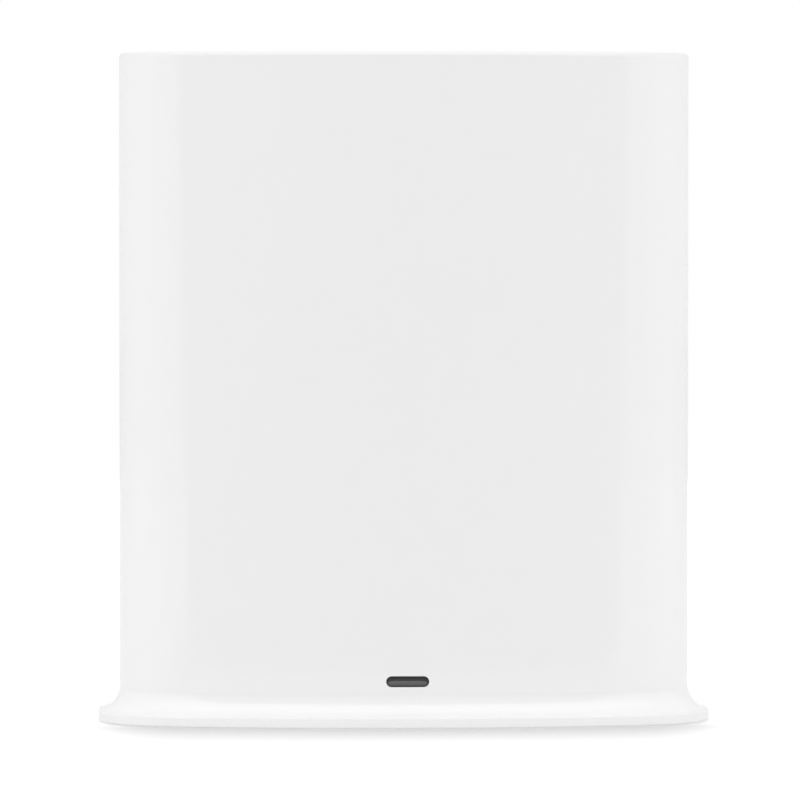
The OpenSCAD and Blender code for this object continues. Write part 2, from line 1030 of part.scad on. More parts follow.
module siren_grille() {
    color("whitesmoke")
        at(0, siren_z)
            difference() {
                union() {
                    rod_y(grille_dia / 2 - fit_gap, rear_in - grille_flange_t, rear_out);
                    rod_y(grille_dia / 2 + grille_flange, rear_in - grille_flange_t, rear_in);
                }
                rod_y(grille_hole_dia / 2, rear_in - far / 2, rear_out + cut);
                for (k = [1:grille_rings], i = [0:6 * k - 1])
                    rotate([0, 60 * i / k, 0])
                        at(k * grille_step, 0)
                            rod_y(grille_hole_dia / 2, rear_in - grille_flange_t - cut, rear_out + cut);
            }
}

module siren_gasket() {
    gasket_r = grille_dia / 2 + grille_flange;
    gasket_y = siren_seat + gasket_t;
    color("dimgray")
        at(0, siren_z)
            difference() {
                rod_y(gasket_r, siren_seat, gasket_y);
                rod_y(gasket_r - gasket_w, siren_seat - cut, gasket_y + cut);
            }
}

// Shapes turned about the siren's axis, with heights measured from its flange's back face
module siren_turned() {
    translate([0, siren_seat, siren_z])
        rotate([-90, 0, 0])
            rotate_extrude()
                children();
}

module siren_frame() {
    floor_z = -siren_flange_t - basket_depth;
    color("dimgray") {
        at(0, siren_z)
            difference() {
                round_box_y(siren_w, siren_w, siren_corner_r, siren_seat - siren_flange_t, siren_seat);
                rod_y(cone_r, siren_seat - far / 2, siren_seat + cut);
                for (sx = [-1, 1], sz = [-1, 1])
                    at(sx * siren_screw_x, sz * siren_screw_x)
                        rod_y(pass_r, siren_seat - siren_flange_t - cut, siren_seat + cut);
            }
        siren_turned()
            polygon([
                [cone_r, -siren_flange_t],
                [cone_r + basket_t, -siren_flange_t],
                [basket_floor_r, floor_z],
                [0, floor_z],
                [0, floor_z + basket_t],
                [basket_floor_r - basket_t, floor_z + basket_t]
            ]);
    }
}

module siren_cone() {
    rim_z = -siren_flange_t / 2;
    neck_z = -siren_flange_t - basket_depth / 2;
    color("black")
        siren_turned()
            polygon([
                [cone_r - cone_clear, rim_z],
                [cone_cap_r, neck_z],
                [0, neck_z + cone_cap_h],
                [0, neck_z + cone_cap_h - cone_t],
                [cone_cap_r, neck_z - cone_t],
                [cone_r - cone_clear, rim_z - cone_t]
            ]);
}

module siren_magnet() {
    floor_y = siren_seat - siren_flange_t - basket_depth;
    color("gray")
        at(0, siren_z)
            rod_y(magnet_dia / 2, floor_y - magnet_t, floor_y);
}

module siren_screws() {
    color("silver")
        at_each(siren_holes)
            screw_y(siren_screw_l - fit_gap, siren_seat - siren_flange_t);
}

module siren_leads() {
    start_y = siren_seat - siren_flange_t;
    start_z = siren_z - siren_w / 2 + lead_inset;
    end_x = siren_plug_x + siren_plug_w / 2;
    end_y = board_back + siren_plug_t / 2;
    color("firebrick")
        for (s = [-lead_pair / 2, lead_pair / 2])
            tube([
                [lead_x + s, start_y, start_z],
                [lead_x + s, start_y - lead_bend, start_z],
                [end_x + lead_reach, end_y, siren_plug_z - s],
                [end_x, end_y, siren_plug_z - s]
            ], lead_r, lead_steps, coax_sides, [0, 0, 1]);
}

module siren_plug() {
    color("ivory")
        at(siren_plug_x, siren_plug_z)
            box_y(siren_plug_w, siren_plug_h, board_back, board_back + siren_plug_t);
}

// Antennas

// Lays a piece against the inside of the bowed front, turned by angle a, with its outer face at radius r
module on_bow(a, r) {
    translate([0, bow_y, 0])
        rotate([0, 0, a])
            translate([0, -r, 0])
                children();
}

module wall_antenna(s) {
    color("darkgoldenrod")
        on_bow(s * antenna_a, antenna_back_r + antenna_t)
            translate([-antenna_w / 2, 0, antenna_z])
                cube([antenna_w, antenna_t, antenna_h]);
}

module antenna_left() {
    wall_antenna(-1);
}

module antenna_right() {
    wall_antenna(1);
}

module antenna_top() {
    color("darkgoldenrod")
        translate([-top_antenna_w / 2, top_antenna_y - top_antenna_d / 2, top_in - foam_t - antenna_t])
            cube([top_antenna_w, top_antenna_d, antenna_t]);
}

module antenna_foam() {
    color("dimgray") {
        for (s = [-1, 1])
            on_bow(s * antenna_a, antenna_back_r + antenna_t + foam_t)
                translate([-antenna_w / 2, 0, antenna_z])
                    cube([antenna_w, foam_t, antenna_h]);
        translate([-top_antenna_w / 2, top_antenna_y - top_antenna_d / 2, top_in - foam_t])
            cube([top_antenna_w, top_antenna_d, foam_t]);
    }
}

// A cable from the lower end of a wall antenna to its plug on the board
module wall_cable(s, plug_x) {
    feed_x = s * antenna_back_r * sin(antenna_a);
    feed_y = bow_y - antenna_back_r * cos(antenna_a);
    start = [feed_x, feed_y, antenna_z + coax_feed_inset];
    color("black")
        tube([
            start,
            start + coax_bend * [-s * sin(antenna_a), cos(antenna_a), 0],
            [plug_x, board_front - coax_plug_t - coax_bend, coax_plug_z],
            [plug_x, board_front - coax_plug_t, coax_plug_z]
        ], coax_r, coax_steps, coax_sides, [1, 0, 0]);
}

module antenna_cable_left() {
    wall_cable(-1, coax_plug_x[0]);
}

module antenna_cable_right() {
    wall_cable(1, coax_plug_x[1]);
}

module antenna_cable_top() {
    start = [top_antenna_w / 2 - coax_feed_inset, top_antenna_y, top_in - foam_t - antenna_t];
    color("black")
        tube([
            start,
            start + [0, 0, -top_coax_drop],
            [coax_plug_x[2], board_front - coax_plug_t - coax_bend, coax_plug_z],
            [coax_plug_x[2], board_front - coax_plug_t, coax_plug_z]
        ], coax_r, coax_steps, coax_sides, [1, 0, 0]);
}

module antenna_plugs() {
    color("gold")
        for (x = coax_plug_x)
            at(x, coax_plug_z)
                rod_y(coax_plug_r, board_front - coax_plug_t, board_front);
}

front_shell();
rear_shell();
base_plate();
rubber_feet();
base_screws();
status_lens();
light_guide();
light_guide_holder();
status_led();
main_board();
board_screws();
processor();
thermal_pad();
heat_sink();
heat_sink_pins();
shield_can_left();
shield_can_right();
network_transformer();
inductor();
capacitors();
memory_chip();
ethernet_jack_shell();
ethernet_jack_insert();
ethernet_contacts();
usb_shell();
usb_tongue();
usb_contacts();
power_jack();
power_jack_pin();
sync_button();
sync_switch();
sync_plunger();
power_button();
power_switch();
power_plunger();
reset_switch();
reset_plunger();
siren_grille();
siren_gasket();
siren_frame();
siren_cone();
siren_magnet();
siren_screws();
siren_leads();
siren_plug();
antenna_left();
antenna_right();
antenna_top();
antenna_foam();
antenna_cable_left();
antenna_cable_right();
antenna_cable_top();
antenna_plugs();
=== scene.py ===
"""Looks of a security camera base station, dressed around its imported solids.

Metres, +Z up; the front with the status window faces -Y and the sockets face +Y. Most pieces that show are
built here as detailed meshes, with their places and main sizes from the solids. The other solids keep their
shapes and get their finishes here.
"""
import json
import logging
import math
from collections.abc import Callable, Sequence
from dataclasses import dataclass
from enum import Enum
from typing import Protocol

import bmesh
import bpy
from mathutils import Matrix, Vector


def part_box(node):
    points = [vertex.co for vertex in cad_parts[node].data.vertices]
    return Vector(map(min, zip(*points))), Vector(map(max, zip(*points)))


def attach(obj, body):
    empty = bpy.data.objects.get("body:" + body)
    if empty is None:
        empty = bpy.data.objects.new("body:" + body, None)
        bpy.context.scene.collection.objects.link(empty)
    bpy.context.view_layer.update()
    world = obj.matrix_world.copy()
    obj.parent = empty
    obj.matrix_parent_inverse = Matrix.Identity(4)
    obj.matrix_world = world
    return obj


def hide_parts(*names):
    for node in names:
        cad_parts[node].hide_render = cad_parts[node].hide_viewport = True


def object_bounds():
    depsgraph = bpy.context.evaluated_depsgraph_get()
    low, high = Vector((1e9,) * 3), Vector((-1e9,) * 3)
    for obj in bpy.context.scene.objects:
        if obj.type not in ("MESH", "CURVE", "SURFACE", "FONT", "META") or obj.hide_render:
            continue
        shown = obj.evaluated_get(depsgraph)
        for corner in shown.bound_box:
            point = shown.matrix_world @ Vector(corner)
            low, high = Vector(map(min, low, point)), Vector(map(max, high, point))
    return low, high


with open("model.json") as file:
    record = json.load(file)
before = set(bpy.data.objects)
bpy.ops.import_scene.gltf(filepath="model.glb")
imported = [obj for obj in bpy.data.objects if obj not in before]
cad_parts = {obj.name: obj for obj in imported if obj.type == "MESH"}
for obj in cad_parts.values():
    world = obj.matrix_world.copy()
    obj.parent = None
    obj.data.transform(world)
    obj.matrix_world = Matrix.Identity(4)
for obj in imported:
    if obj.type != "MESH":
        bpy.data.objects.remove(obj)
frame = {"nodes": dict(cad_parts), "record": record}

CAD_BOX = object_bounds()
LOG = logging.getLogger("base_station")
MM = 0.001
TINY = 0.001 * MM
EDGE_LOOP = 0.1 * MM
WELD = 1e-7
SHARP_FROM = math.radians(33)
NORMAL_WEIGHT = 90
STATION = "station"
CORNERS = ((1, 1, 0), (-1, 1, 90), (-1, -1, 180), (1, -1, 270))
ACROSS = ("Across X", "Across Y", "Across Z")

Point = tuple[float, float]
Place = tuple[float, float, float]
Colour = tuple[float, float, float]
Object = bpy.types.Object
Socket = bpy.types.NodeSocket
Sockets = bpy.types.bpy_prop_collection
Tree = bpy.types.ShaderNodeTree


# Outlines and profiles

def arc(centre: Point, radius: float, start: float, stop: float, steps: int) -> list[Point]:
    """Lays points along an arc of a circle, in equal steps from one angle in degrees to another."""
    turns = [math.radians(start + (stop - start) * i / steps) for i in range(steps + 1)]
    return [(centre[0] + radius * math.cos(a), centre[1] + radius * math.sin(a)) for a in turns]


def quarter(steps: int) -> list[float]:
    """Gives angles from 0 to a right angle, in radians, in equal steps."""
    return [math.pi / 2 * i / steps for i in range(steps + 1)]


def bar_profile(start: float, stop: float, start_round: float, stop_round: float,
                steps: int = 4) -> list[Point]:
    """Profile of a bar whose two end rims may be rounded.

    Args:
        start: Where the bar starts.
        stop: Where it stops.
        start_round: Radius round the starting rim.
        stop_round: Radius round the stopping rim, which flares outwards where this is below 0.
        steps: Steps in each rounding.

    Returns:
        Pairs of growth and place along the bar.
    """
    way = 1 if stop > start else -1
    rows = [(0.0, start)]
    if start_round:
        rows = [(-start_round * (1 - math.sin(a)), start + way * start_round * (1 - math.cos(a)))
                for a in quarter(steps)]
    if not stop_round:
        return [*rows, (0.0, stop)]
    deep = way * abs(stop_round)
    return rows + [(-stop_round * (1 - math.cos(a)), stop - deep * (1 - math.sin(a))) for a in quarter(steps)]


def cut_profile(floor: float, face: float, floor_round: float, mouth_round: float,
                steps: int = 4) -> list[Point]:
    """Profile of a cut from its floor out through a face, with its floor and its mouth rounded."""
    past = face + math.copysign(MM, face - floor)
    return [*bar_profile(floor, face, floor_round, -mouth_round, steps), (mouth_round, past)]


class Outline(Protocol):
    """A closed outline about the origin."""

    def points(self, grow: float = 0.0) -> list[Point]:
        """Walks round the outline, moved outwards by grow, anticlockwise."""


@dataclass(frozen=True)
class RoundRect:
    """A rectangle with rounded corners."""

    width: float
    height: float
    radius: float
    steps: int = 6

    def points(self, grow: float = 0.0) -> list[Point]:
        """Walks round the rectangle, moved outwards by grow, anticlockwise."""
        x, y = self.width / 2 - self.radius, self.height / 2 - self.radius
        return [p for s, t, a in CORNERS
                for p in arc((s * x, t * y), max(self.radius + grow, TINY), a, a + 90, self.steps)]


@dataclass(frozen=True)
class Disc:
    """A circle."""

    radius: float = 0.0
    steps: int = 64

    def points(self, grow: float = 0.0) -> list[Point]:
        """Walks round the circle, moved outwards by grow, anticlockwise."""
        return arc((0.0, 0.0), max(self.radius + grow, TINY), 0, 360 - 360 / self.steps, self.steps - 1)


@dataclass(frozen=True)
class PlugWay:
    """Mouth of the network socket: the plug's rectangle with its latch's notch below it."""

    width: float
    height: float
    latch_width: float
    latch_height: float

    def points(self, grow: float = 0.0) -> list[Point]:
        """Walks round the mouth, moved outwards by grow, anticlockwise."""
        w, h, n = (size / 2 + grow for size in (self.width, self.height, self.latch_width))
        return [(w, h), (-w, h), (-w, -h), (-n, -h), (-n, -h - self.latch_height),
                (n, -h - self.latch_height), (n, -h), (w, -h)]


# Mesh making

class Solid:
    """The box of one of the frame's solids."""

    def __init__(self, node: str) -> None:
        """Takes the box's corners, its middle and its size."""
        self.low, self.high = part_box(node)
        self.at, self.size = (self.low + self.high) / 2, self.high - self.low


class Axis(Enum):
    """Direction that a bar runs in."""

    Y = "y"
    Z = "z"

    def place(self, at: Vector, point: Point, along: float) -> Vector:
        """Puts a point in space, from an outline whose own origin lies at a place."""
        x, v = at.x + point[0], point[1]
        return Vector((x, along, at.z + v) if self is Axis.Y else (x, at.y + v, along))


class Ends(Enum):
    """How a bar's skin is closed."""

    CAPPED = "capped"
    JOINED = "joined"


class Carve(Enum):
    """What carving does to a piece."""

    ADD = "UNION"
    CUT = "DIFFERENCE"


@dataclass(frozen=True)
class Bar:
    """An outline that runs along an axis; its profile has pairs of growth and place along it."""

    outline: Outline
    profile: Sequence[Point]
    at: Vector
    axis: Axis = Axis.Y
    ends: Ends = Ends.CAPPED

    def rings(self) -> list[list[Vector]]:
        """Gives the closed rings of points that its skin runs over."""
        return [[self.axis.place(self.at, p, s) for p in self.outline.points(g)] for g, s in self.profile]


class Skin:
    """Closed skins gathered in one mesh."""

    def __init__(self, *bars: Bar) -> None:
        """Draws the skins of the given bars, in order."""
        self.mesh = bmesh.new()
        for bar in bars:
            self.draw(bar)

    def draw(self, bar: Bar) -> None:
        """Draws the skin of one bar.

        Args:
            bar: The bar.
        """
        rows = [[self.mesh.verts.new(p) for p in ring] for ring in bar.rings()]
        pairs = list(zip(rows, rows[1:]))
        if bar.ends is Ends.JOINED:
            pairs.append((rows[-1], rows[0]))
        else:
            self.mesh.faces.new(reversed(rows[0]))
            self.mesh.faces.new(rows[-1])
        for low, high in pairs:
            for i, start in enumerate(low):
                j = (i + 1) % len(low)
                self.mesh.faces.new((start, low[j], high[j], high[i]))

    def to_object(self, name: str) -> Object:
        """Turns the mesh into an object of the scene.

        Args:
            name: Name of the new object.

        Returns:
            The new object.
        """
        bmesh.ops.remove_doubles(self.mesh, verts=self.mesh.verts, dist=WELD)
        bmesh.ops.recalc_face_normals(self.mesh, faces=self.mesh.faces)
        data = bpy.data.meshes.new(name)
        self.mesh.to_mesh(data)
        self.mesh.free()
        piece = bpy.data.objects.new(name, data)
        bpy.context.scene.collection.objects.link(piece)
        return piece


def carve(piece: Object, how: Carve, *bars: Bar) -> None:
    """Adds bars to a piece, or cuts them out of it.

    Args:
        piece: The piece to change.
        how: Whether they are added or cut.
        bars: The bars; those that are cut don't cross each other.
    """
    helper = Skin(*bars).to_object(piece.name + "_tool")
    change = piece.modifiers.new("carve", "BOOLEAN")
    change.operation, change.solver, change.object = how.value, "EXACT", helper
    change.use_self = how is Carve.ADD
    done = piece.evaluated_get(bpy.context.evaluated_depsgraph_get())
    old, piece.data = piece.data, bpy.data.meshes.new_from_object(done)
    piece.modifiers.clear()
    for data in (old, helper.data):
        bpy.data.meshes.remove(data)
    piece.data.name = piece.name


def dress(piece: Object, finish: "Finish", body: str, *nodes: str) -> None:
    """Smooths a new piece, gives it its finish and ties it to the frame.

    Args:
        piece: The new piece, in its place.
        finish: The finish it gets.
        body: The body that it moves with.
        nodes: The solids that it stands for.
    """
    piece.data.shade_smooth()
    piece.data.set_sharp_from_angle(angle=SHARP_FROM)
    even = piece.modifiers.new("even_normals", "WEIGHTED_NORMAL")
    even.keep_sharp, even.weight = True, NORMAL_WEIGHT
    piece.data.materials.clear()
    piece.data.materials.append(finish.material())
    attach(piece, body)
    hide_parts(*nodes)
    LOG.info("%s rides on %s and stands for %s", piece.name, body, ", ".join(nodes))


# Shader trees

def opaque(colour: Colour, gain: float = 1.0) -> tuple[float, float, float, float]:
    """Gives a colour with full cover, made lighter or darker by gain."""
    return (*(c * gain for c in colour), 1.0)


def grey(tone: float) -> tuple[float, float, float, float]:
    """Gives a grey with full cover."""
    return opaque((tone,) * 3)


class Nodes:
    """Lays nodes and links in one shader tree."""

    def __init__(self, tree: Tree) -> None:
        """Keeps the tree that nodes go into."""
        self.tree = tree

    @classmethod
    def blank(cls, owner: bpy.types.Material | bpy.types.World) -> "Nodes":
        """Empties the shader tree of a material or a world.

        Args:
            owner: The material or world.

        Returns:
            Its tree, with no nodes in it.
        """
        owner.use_nodes = True
        owner.node_tree.nodes.clear()
        return cls(owner.node_tree)

    def feed(self, node: bpy.types.Node, inputs: dict) -> None:
        """Sets a node's inputs to values, or links them to sockets.

        Args:
            node: The node.
            inputs: Values or sockets for its inputs, by name or number.
        """
        for key, value in inputs.items():
            if isinstance(value, Socket):
                self.tree.links.new(value, node.inputs[key])
            else:
                node.inputs[key].default_value = value

    def add(self, kind: str, inputs: dict | None = None, **settings: object) -> Sockets:
        """Adds one node.

        Args:
            kind: What follows ShaderNode in Blender's name of the node's type.
            inputs: Values or sockets for its inputs, by name or number.
            settings: Values of the node's own properties.

        Returns:
            The new node's outputs.
        """
        node = self.tree.nodes.new("ShaderNode" + kind)
        for key, value in settings.items():
            setattr(node, key, value)
        self.feed(node, inputs or {})
        return node.outputs

    def shared(self, tree: Tree, inputs: dict | None = None) -> Sockets:
        """Adds a shared group and gives its outputs."""
        return self.add("Group", inputs, node_tree=tree)

    def place(self) -> Socket:
        """Gives the place on the piece, in metres."""
        return self.add("TexCoord")["Object"]

    def split(self, vector: Socket) -> Sockets:
        """Splits a vector into its three parts."""
        return self.add("SeparateXYZ", {0: vector})

    def noise(self, at: Socket, scale: Socket | float, detail: float) -> Socket:
        """Gives noise of a scale and a detail."""
        return self.add("TexNoise", {"Vector": at, "Scale": scale, "Detail": detail})[0]

    def scale(self, value: Socket, low: float, high: float, to_low: object = 0.0, to_high: object = 1.0,
              way: str = "LINEAR") -> Socket:
        """Maps a value from one range to another, held at the ends, in a way that Blender names."""
        return self.add("MapRange", {0: value, 1: low, 2: high, 3: to_low, 4: to_high},
                        interpolation_type=way)[0]

    def math(self, how: str, *values: object) -> Socket:
        """Works out one sum, by Blender's name of the operation."""
        return self.add("Math", dict(enumerate(values)), operation=how)[0]

    def mix(self, share: object, first: object, second: object) -> Socket:
        """Mixes two colours by the share of the second."""
        return self.add("Mix", {0: share, 6: first, 7: second}, data_type="RGBA")[2]

    def uneven(self, share: Socket, colour: Colour, spread: float) -> Socket:
        """Gives a colour that is darker where share is 0 and lighter where it is 1."""
        return self.mix(share, opaque(colour, 1 - spread), opaque(colour, 1 + spread))

    def relief(self, height: Socket, strength: float, depth: float) -> Socket:
        """Gives the normal of a relief with a height from 0 to 1 and a depth in metres."""
        return self.add("Bump", {"Strength": strength, "Distance": depth, "Height": height})[0]


def group(name: str, inputs: dict[str, float], outputs: Sequence[str],
          fill: Callable[[Nodes, dict], dict]) -> Tree:
    """Gives a shared shader group, which is built the first time it is asked for.

    Args:
        name: Name of the group.
        inputs: Names and first values of its inputs.
        outputs: Names of its outputs.
        fill: Lays its nodes; it takes the inputs' sockets and gives the outputs' sockets.

    Returns:
        The group's tree.
    """
    tree = bpy.data.node_groups.get(name)
    if tree is not None:
        return tree
    tree = bpy.data.node_groups.new(name, "ShaderNodeTree")
    for key, value in inputs.items():
        socket = tree.interface.new_socket(name=key, in_out="INPUT", socket_type="NodeSocketFloat")
        socket.default_value = value
    for key in outputs:
        tree.interface.new_socket(name=key, in_out="OUTPUT", socket_type="NodeSocketFloat")
    start, end = tree.nodes.new("NodeGroupInput"), tree.nodes.new("NodeGroupOutput")
    lay = Nodes(tree)
    lay.feed(end, fill(lay, {key: start.outputs[key] for key in inputs}))
    return tree


def moulded_grain() -> Tree:
    """Shared group: the fine skin of a moulded piece, and the broad patches of its gloss.

    Returns:
        The group's tree.
    """

    def fill(lay: Nodes, given: dict) -> dict:
        """Lays two sizes of noise."""
        fine, broad = (lay.noise(lay.place(), given[key], d) for key, d in (("Grain", 2.0), ("Patch", 3.0)))
        return {"Height": fine, "Gloss": lay.scale(broad, 0.3, 0.7)}

    return group("moulded_grain", {"Grain": 2500.0, "Patch": 30.0}, ("Height", "Gloss"), fill)


def settled_dust() -> Tree:
    """Shared group: a thin film of dust on what faces up.

    Returns:
        The group's tree.
    """

    def fill(lay: Nodes, given: dict) -> dict:
        """Lets noise break up what faces up.

        Args:
            lay: Where the nodes go.
            given: The inputs' sockets.

        Returns:
            The outputs' sockets.
        """
        up = lay.split(lay.add("NewGeometry")["Normal"])[2]
        specks = lay.noise(lay.place(), given["Specks"], 6.0)
        film = lay.math("MULTIPLY", lay.scale(up, 0.5, 1.0), lay.scale(specks, 0.42, 0.75))
        return {"Dust": lay.math("MULTIPLY", film, given["Amount"])}

    return group("settled_dust", {"Specks": 900.0, "Amount": 0.1}, ("Dust",), fill)


def drawn_metal() -> Tree:
    """Shared group: the fine streaks of rolled, drawn or brushed metal.

    Returns:
        The group's tree.
    """

    def fill(lay: Nodes, given: dict) -> dict:
        """Stretches noise along the direction with the smallest scale.

        Args:
            lay: Where the nodes go.
            given: The inputs' sockets.

        Returns:
            The outputs' sockets.
        """
        parts = lay.split(lay.place())
        sizes = {i: lay.math("MULTIPLY", parts[i], given[key]) for i, key in enumerate(ACROSS)}
        streaks = lay.noise(lay.add("CombineXYZ", sizes)[0], 1.0, 4.0)
        return {"Height": streaks, "Streak": lay.scale(streaks, 0.3, 0.7)}

    return group("drawn_metal", dict(zip(ACROSS, (3000.0, 200.0, 3000.0))), ("Height", "Streak"), fill)


def copper_tracks() -> Tree:
    """Shared group: copper tracks and round pads under the lacquer of a laminate.

    Returns:
        The group's tree.
    """

    def fill(lay: Nodes, given: dict) -> dict:
        """Draws tracks along two square courses that cross, and scatters round pads over them.

        Args:
            lay: Where the nodes go.
            given: The inputs' sockets.

        Returns:
            The outputs' sockets.
        """
        across, deep, up = lay.split(lay.place())
        along = lay.math("ADD", deep, up)
        tracks = []
        for first, second, share in ((across, along, 1.0), (along, across, 0.62)):
            course = lay.add("TexBrick", {
                "Vector": lay.add("CombineXYZ", {0: first, 1: second})[0],
                "Scale": lay.math("MULTIPLY", given["Cells"], share), "Mortar Size": 0.05,
                "Mortar Smooth": 0.1, "Brick Width": 2.4, "Row Height": 0.45}, offset=0.37)
            tracks.append(course["Fac"])
        cell = lay.add("TexVoronoi", {"Vector": lay.place(), "Scale": given["Cells"], "Randomness": 0.8})
        return {"Track": lay.math("MAXIMUM", *tracks),
                "Pad": lay.scale(cell["Distance"], 0.14, 0.17, 1.0, 0.0)}

    return group("copper_tracks", {"Cells": 300.0}, ("Track", "Pad"), fill)


# Finishes

class Finish:
    """What a material slot of the record looks like."""

    slot: str

    def material(self) -> bpy.types.Material:
        """Gives the finish's material, which is made the first time it is asked for.

        Returns:
            The material.
        """
        name = self.slot + "_finish"
        made = bpy.data.materials.get(name)
        if made is None:
            made = bpy.data.materials.new(name)
            made.use_nodes = True
            lay = Nodes(made.node_tree)
            lay.feed(made.node_tree.nodes["Principled BSDF"], self.inputs(lay))
        return made

    def inputs(self, lay: Nodes) -> dict[str, object]:
        """Lays the finish's nodes and gives the inputs of the material's own shader."""
        raise NotImplementedError


@dataclass(frozen=True)
class Moulded(Finish):
    """A moulded plastic or rubber."""

    slot: str
    colour: Colour
    rough: Point
    grain: float = 2500.0
    patch: float = 30.0
    spread: float = 0.03
    relief: float = 0.12
    depth: float = 0.03 * MM
    dust: float = 0.06
    dust_colour: Colour = (0.62, 0.6, 0.57)
    dust_rough: float = 0.5
    ior: float = 1.5

    def inputs(self, lay: Nodes) -> dict[str, object]:
        """Lays skin, patches of gloss and dust.

        Args:
            lay: Where the nodes go.

        Returns:
            The shader's inputs.
        """
        skin = lay.shared(moulded_grain(), {"Grain": self.grain, "Patch": self.patch})
        dust = lay.shared(settled_dust(), {"Amount": self.dust})["Dust"]
        rough = lay.scale(skin["Gloss"], 0, 1, *self.rough)
        return {
            "Base Color": lay.mix(dust, self.body(lay, skin["Gloss"]), opaque(self.dust_colour)),
            "Roughness": lay.math("ADD", rough, lay.math("MULTIPLY", dust, self.dust_rough)),
            "IOR": self.ior,
            "Normal": lay.relief(skin["Height"], self.relief, self.depth),
        }

    def body(self, lay: Nodes, gloss: Socket) -> Socket:
        """Gives the plastic's own colour, a little uneven with its gloss."""
        return lay.uneven(gloss, self.colour, self.spread)


@dataclass(frozen=True)
class ShellPlastic(Moulded):
    """The housing's plastic, with painted shade on its top, so that the rounded edge there stays off white.
    """

    # The top's painted shade: where it starts below the top, where it is full, and how dark it gets.
    top: float = CAD_BOX[1].z
    top_from: float = 0.95 * MM
    top_full: float = 0.6 * MM
    top_shade_gain: float = 0.92

    def body(self, lay: Nodes, gloss: Socket) -> Socket:
        """Gives the plastic's own colour, mixed by height with painted shade on its top."""
        # Painted shade: the last millimetre below the top is darkened, standing in for less light on the
        # rounded top edge.
        painted_top_shade = lay.scale(lay.split(lay.place())[2], self.top - self.top_from, self.top - self.top_full)
        return lay.mix(painted_top_shade, super().body(lay, gloss), opaque(self.colour, self.top_shade_gain))


@dataclass(frozen=True)
class Metal(Finish):
    """A plated, drawn or brushed metal."""

    slot: str
    colour: Colour
    rough: Point
    across: tuple[float, float, float] = (3000.0, 200.0, 3000.0)
    spread: float = 0.08
    relief: float = 0.15
    depth: float = 0.02 * MM
    patch: float = 250.0
    dull_rough: float = 0.08

    def inputs(self, lay: Nodes) -> dict[str, object]:
        """Lays streaks and dull patches.

        Args:
            lay: Where the nodes go.

        Returns:
            The shader's inputs.
        """
        drawn = lay.shared(drawn_metal(), dict(zip(ACROSS, self.across)))
        dull = lay.shared(moulded_grain(), {"Patch": self.patch})["Gloss"]
        rough = lay.scale(drawn["Streak"], 0, 1, *self.rough)
        return {
            "Base Color": lay.uneven(drawn["Streak"], self.colour, self.spread),
            "Roughness": lay.math("ADD", rough, lay.math("MULTIPLY", dull, self.dull_rough)),
            "Metallic": 1.0,
            "Normal": lay.relief(drawn["Height"], self.relief, self.depth),
        }


@dataclass(frozen=True, kw_only=True)
class SmokedWindow(Moulded):
    """Smoked glossy plastic with a painted reflection that makes it paler below its middle than above it."""

    centre: float
    half_width: float
    half_height: float
    # Painted reflection: places and tones of the ramp, with a pale band below the middle.
    painted_reflection_bands: tuple[Point, ...]
    arch: float = 0.14
    arch_power: float = 6.0
    dark_end: float = 1.1 * MM

    def body(self, lay: Nodes, gloss: Socket) -> Socket:
        """Lays arched bands of painted reflection by height on the piece, with ends in the plastic's own
        colour.

        Args:
            lay: Where the nodes go.
            gloss: The patches of gloss, which don't change this colour.

        Returns:
            The colour.
        """
        across, _, height = lay.split(lay.place())
        aside = lay.math("ABSOLUTE", across)
        share = lay.scale(height, self.centre - self.half_height, self.centre + self.half_height)
        drop = lay.math("POWER", lay.math("DIVIDE", aside, self.half_width), self.arch_power)
        ends = lay.scale(aside, self.half_width - self.dark_end, self.half_width, way="SMOOTHSTEP")
        # Painted reflection: a pale arched band below the window's middle, set by height on the piece.
        painted_reflection = lay.add("ValToRGB", {0: lay.math("MULTIPLY_ADD", drop, self.arch, share)})[0]
        stops = painted_reflection.node.color_ramp.elements
        for stop, (place, tone) in zip((stops[0], stops[1]), (self.painted_reflection_bands[0], self.painted_reflection_bands[-1])):
            stop.position, stop.color = place, grey(tone)
        for place, tone in self.painted_reflection_bands[1:-1]:
            stops.new(place).color = grey(tone)
        return lay.mix(ends, painted_reflection, opaque(self.colour))


@dataclass(frozen=True)
class ClearPlastic(Moulded):
    """Clear polished plastic with faint flow marks."""

    flow_gain: float = 0.97

    def inputs(self, lay: Nodes) -> dict[str, object]:
        """Lets light through what a moulded plastic has."""
        return super().inputs(lay) | {"Transmission Weight": 1.0}

    def body(self, lay: Nodes, gloss: Socket) -> Socket:
        """Gives the tint, darker in the flow marks."""
        return lay.mix(gloss, opaque(self.colour, self.flow_gain), opaque(self.colour))


@dataclass(frozen=True)
class Laminate(Finish):
    """A printed laminate: lacquer over copper tracks, with bare plated pads."""

    slot: str
    lacquer: Colour
    over_copper: Colour
    pads: Colour
    cells: float
    spread: float = 0.08
    rough: Point = (0.3, 0.42)
    relief: float = 0.5
    depth: float = 0.04 * MM

    def inputs(self, lay: Nodes) -> dict[str, object]:
        """Lays tracks, pads and the weave's faint unevenness.

        Args:
            lay: Where the nodes go.

        Returns:
            The shader's inputs.
        """
        track, pad = lay.shared(copper_tracks(), {"Cells": self.cells})
        gloss = lay.shared(moulded_grain())["Gloss"]
        covered = lay.mix(track, lay.uneven(gloss, self.lacquer, self.spread), opaque(self.over_copper))
        return {
            "Base Color": lay.mix(pad, covered, opaque(self.pads)),
            "Metallic": pad,
            "Roughness": lay.scale(gloss, 0, 1, *self.rough),
            "Normal": lay.relief(lay.math("MAXIMUM", track, pad), self.relief, self.depth),
        }


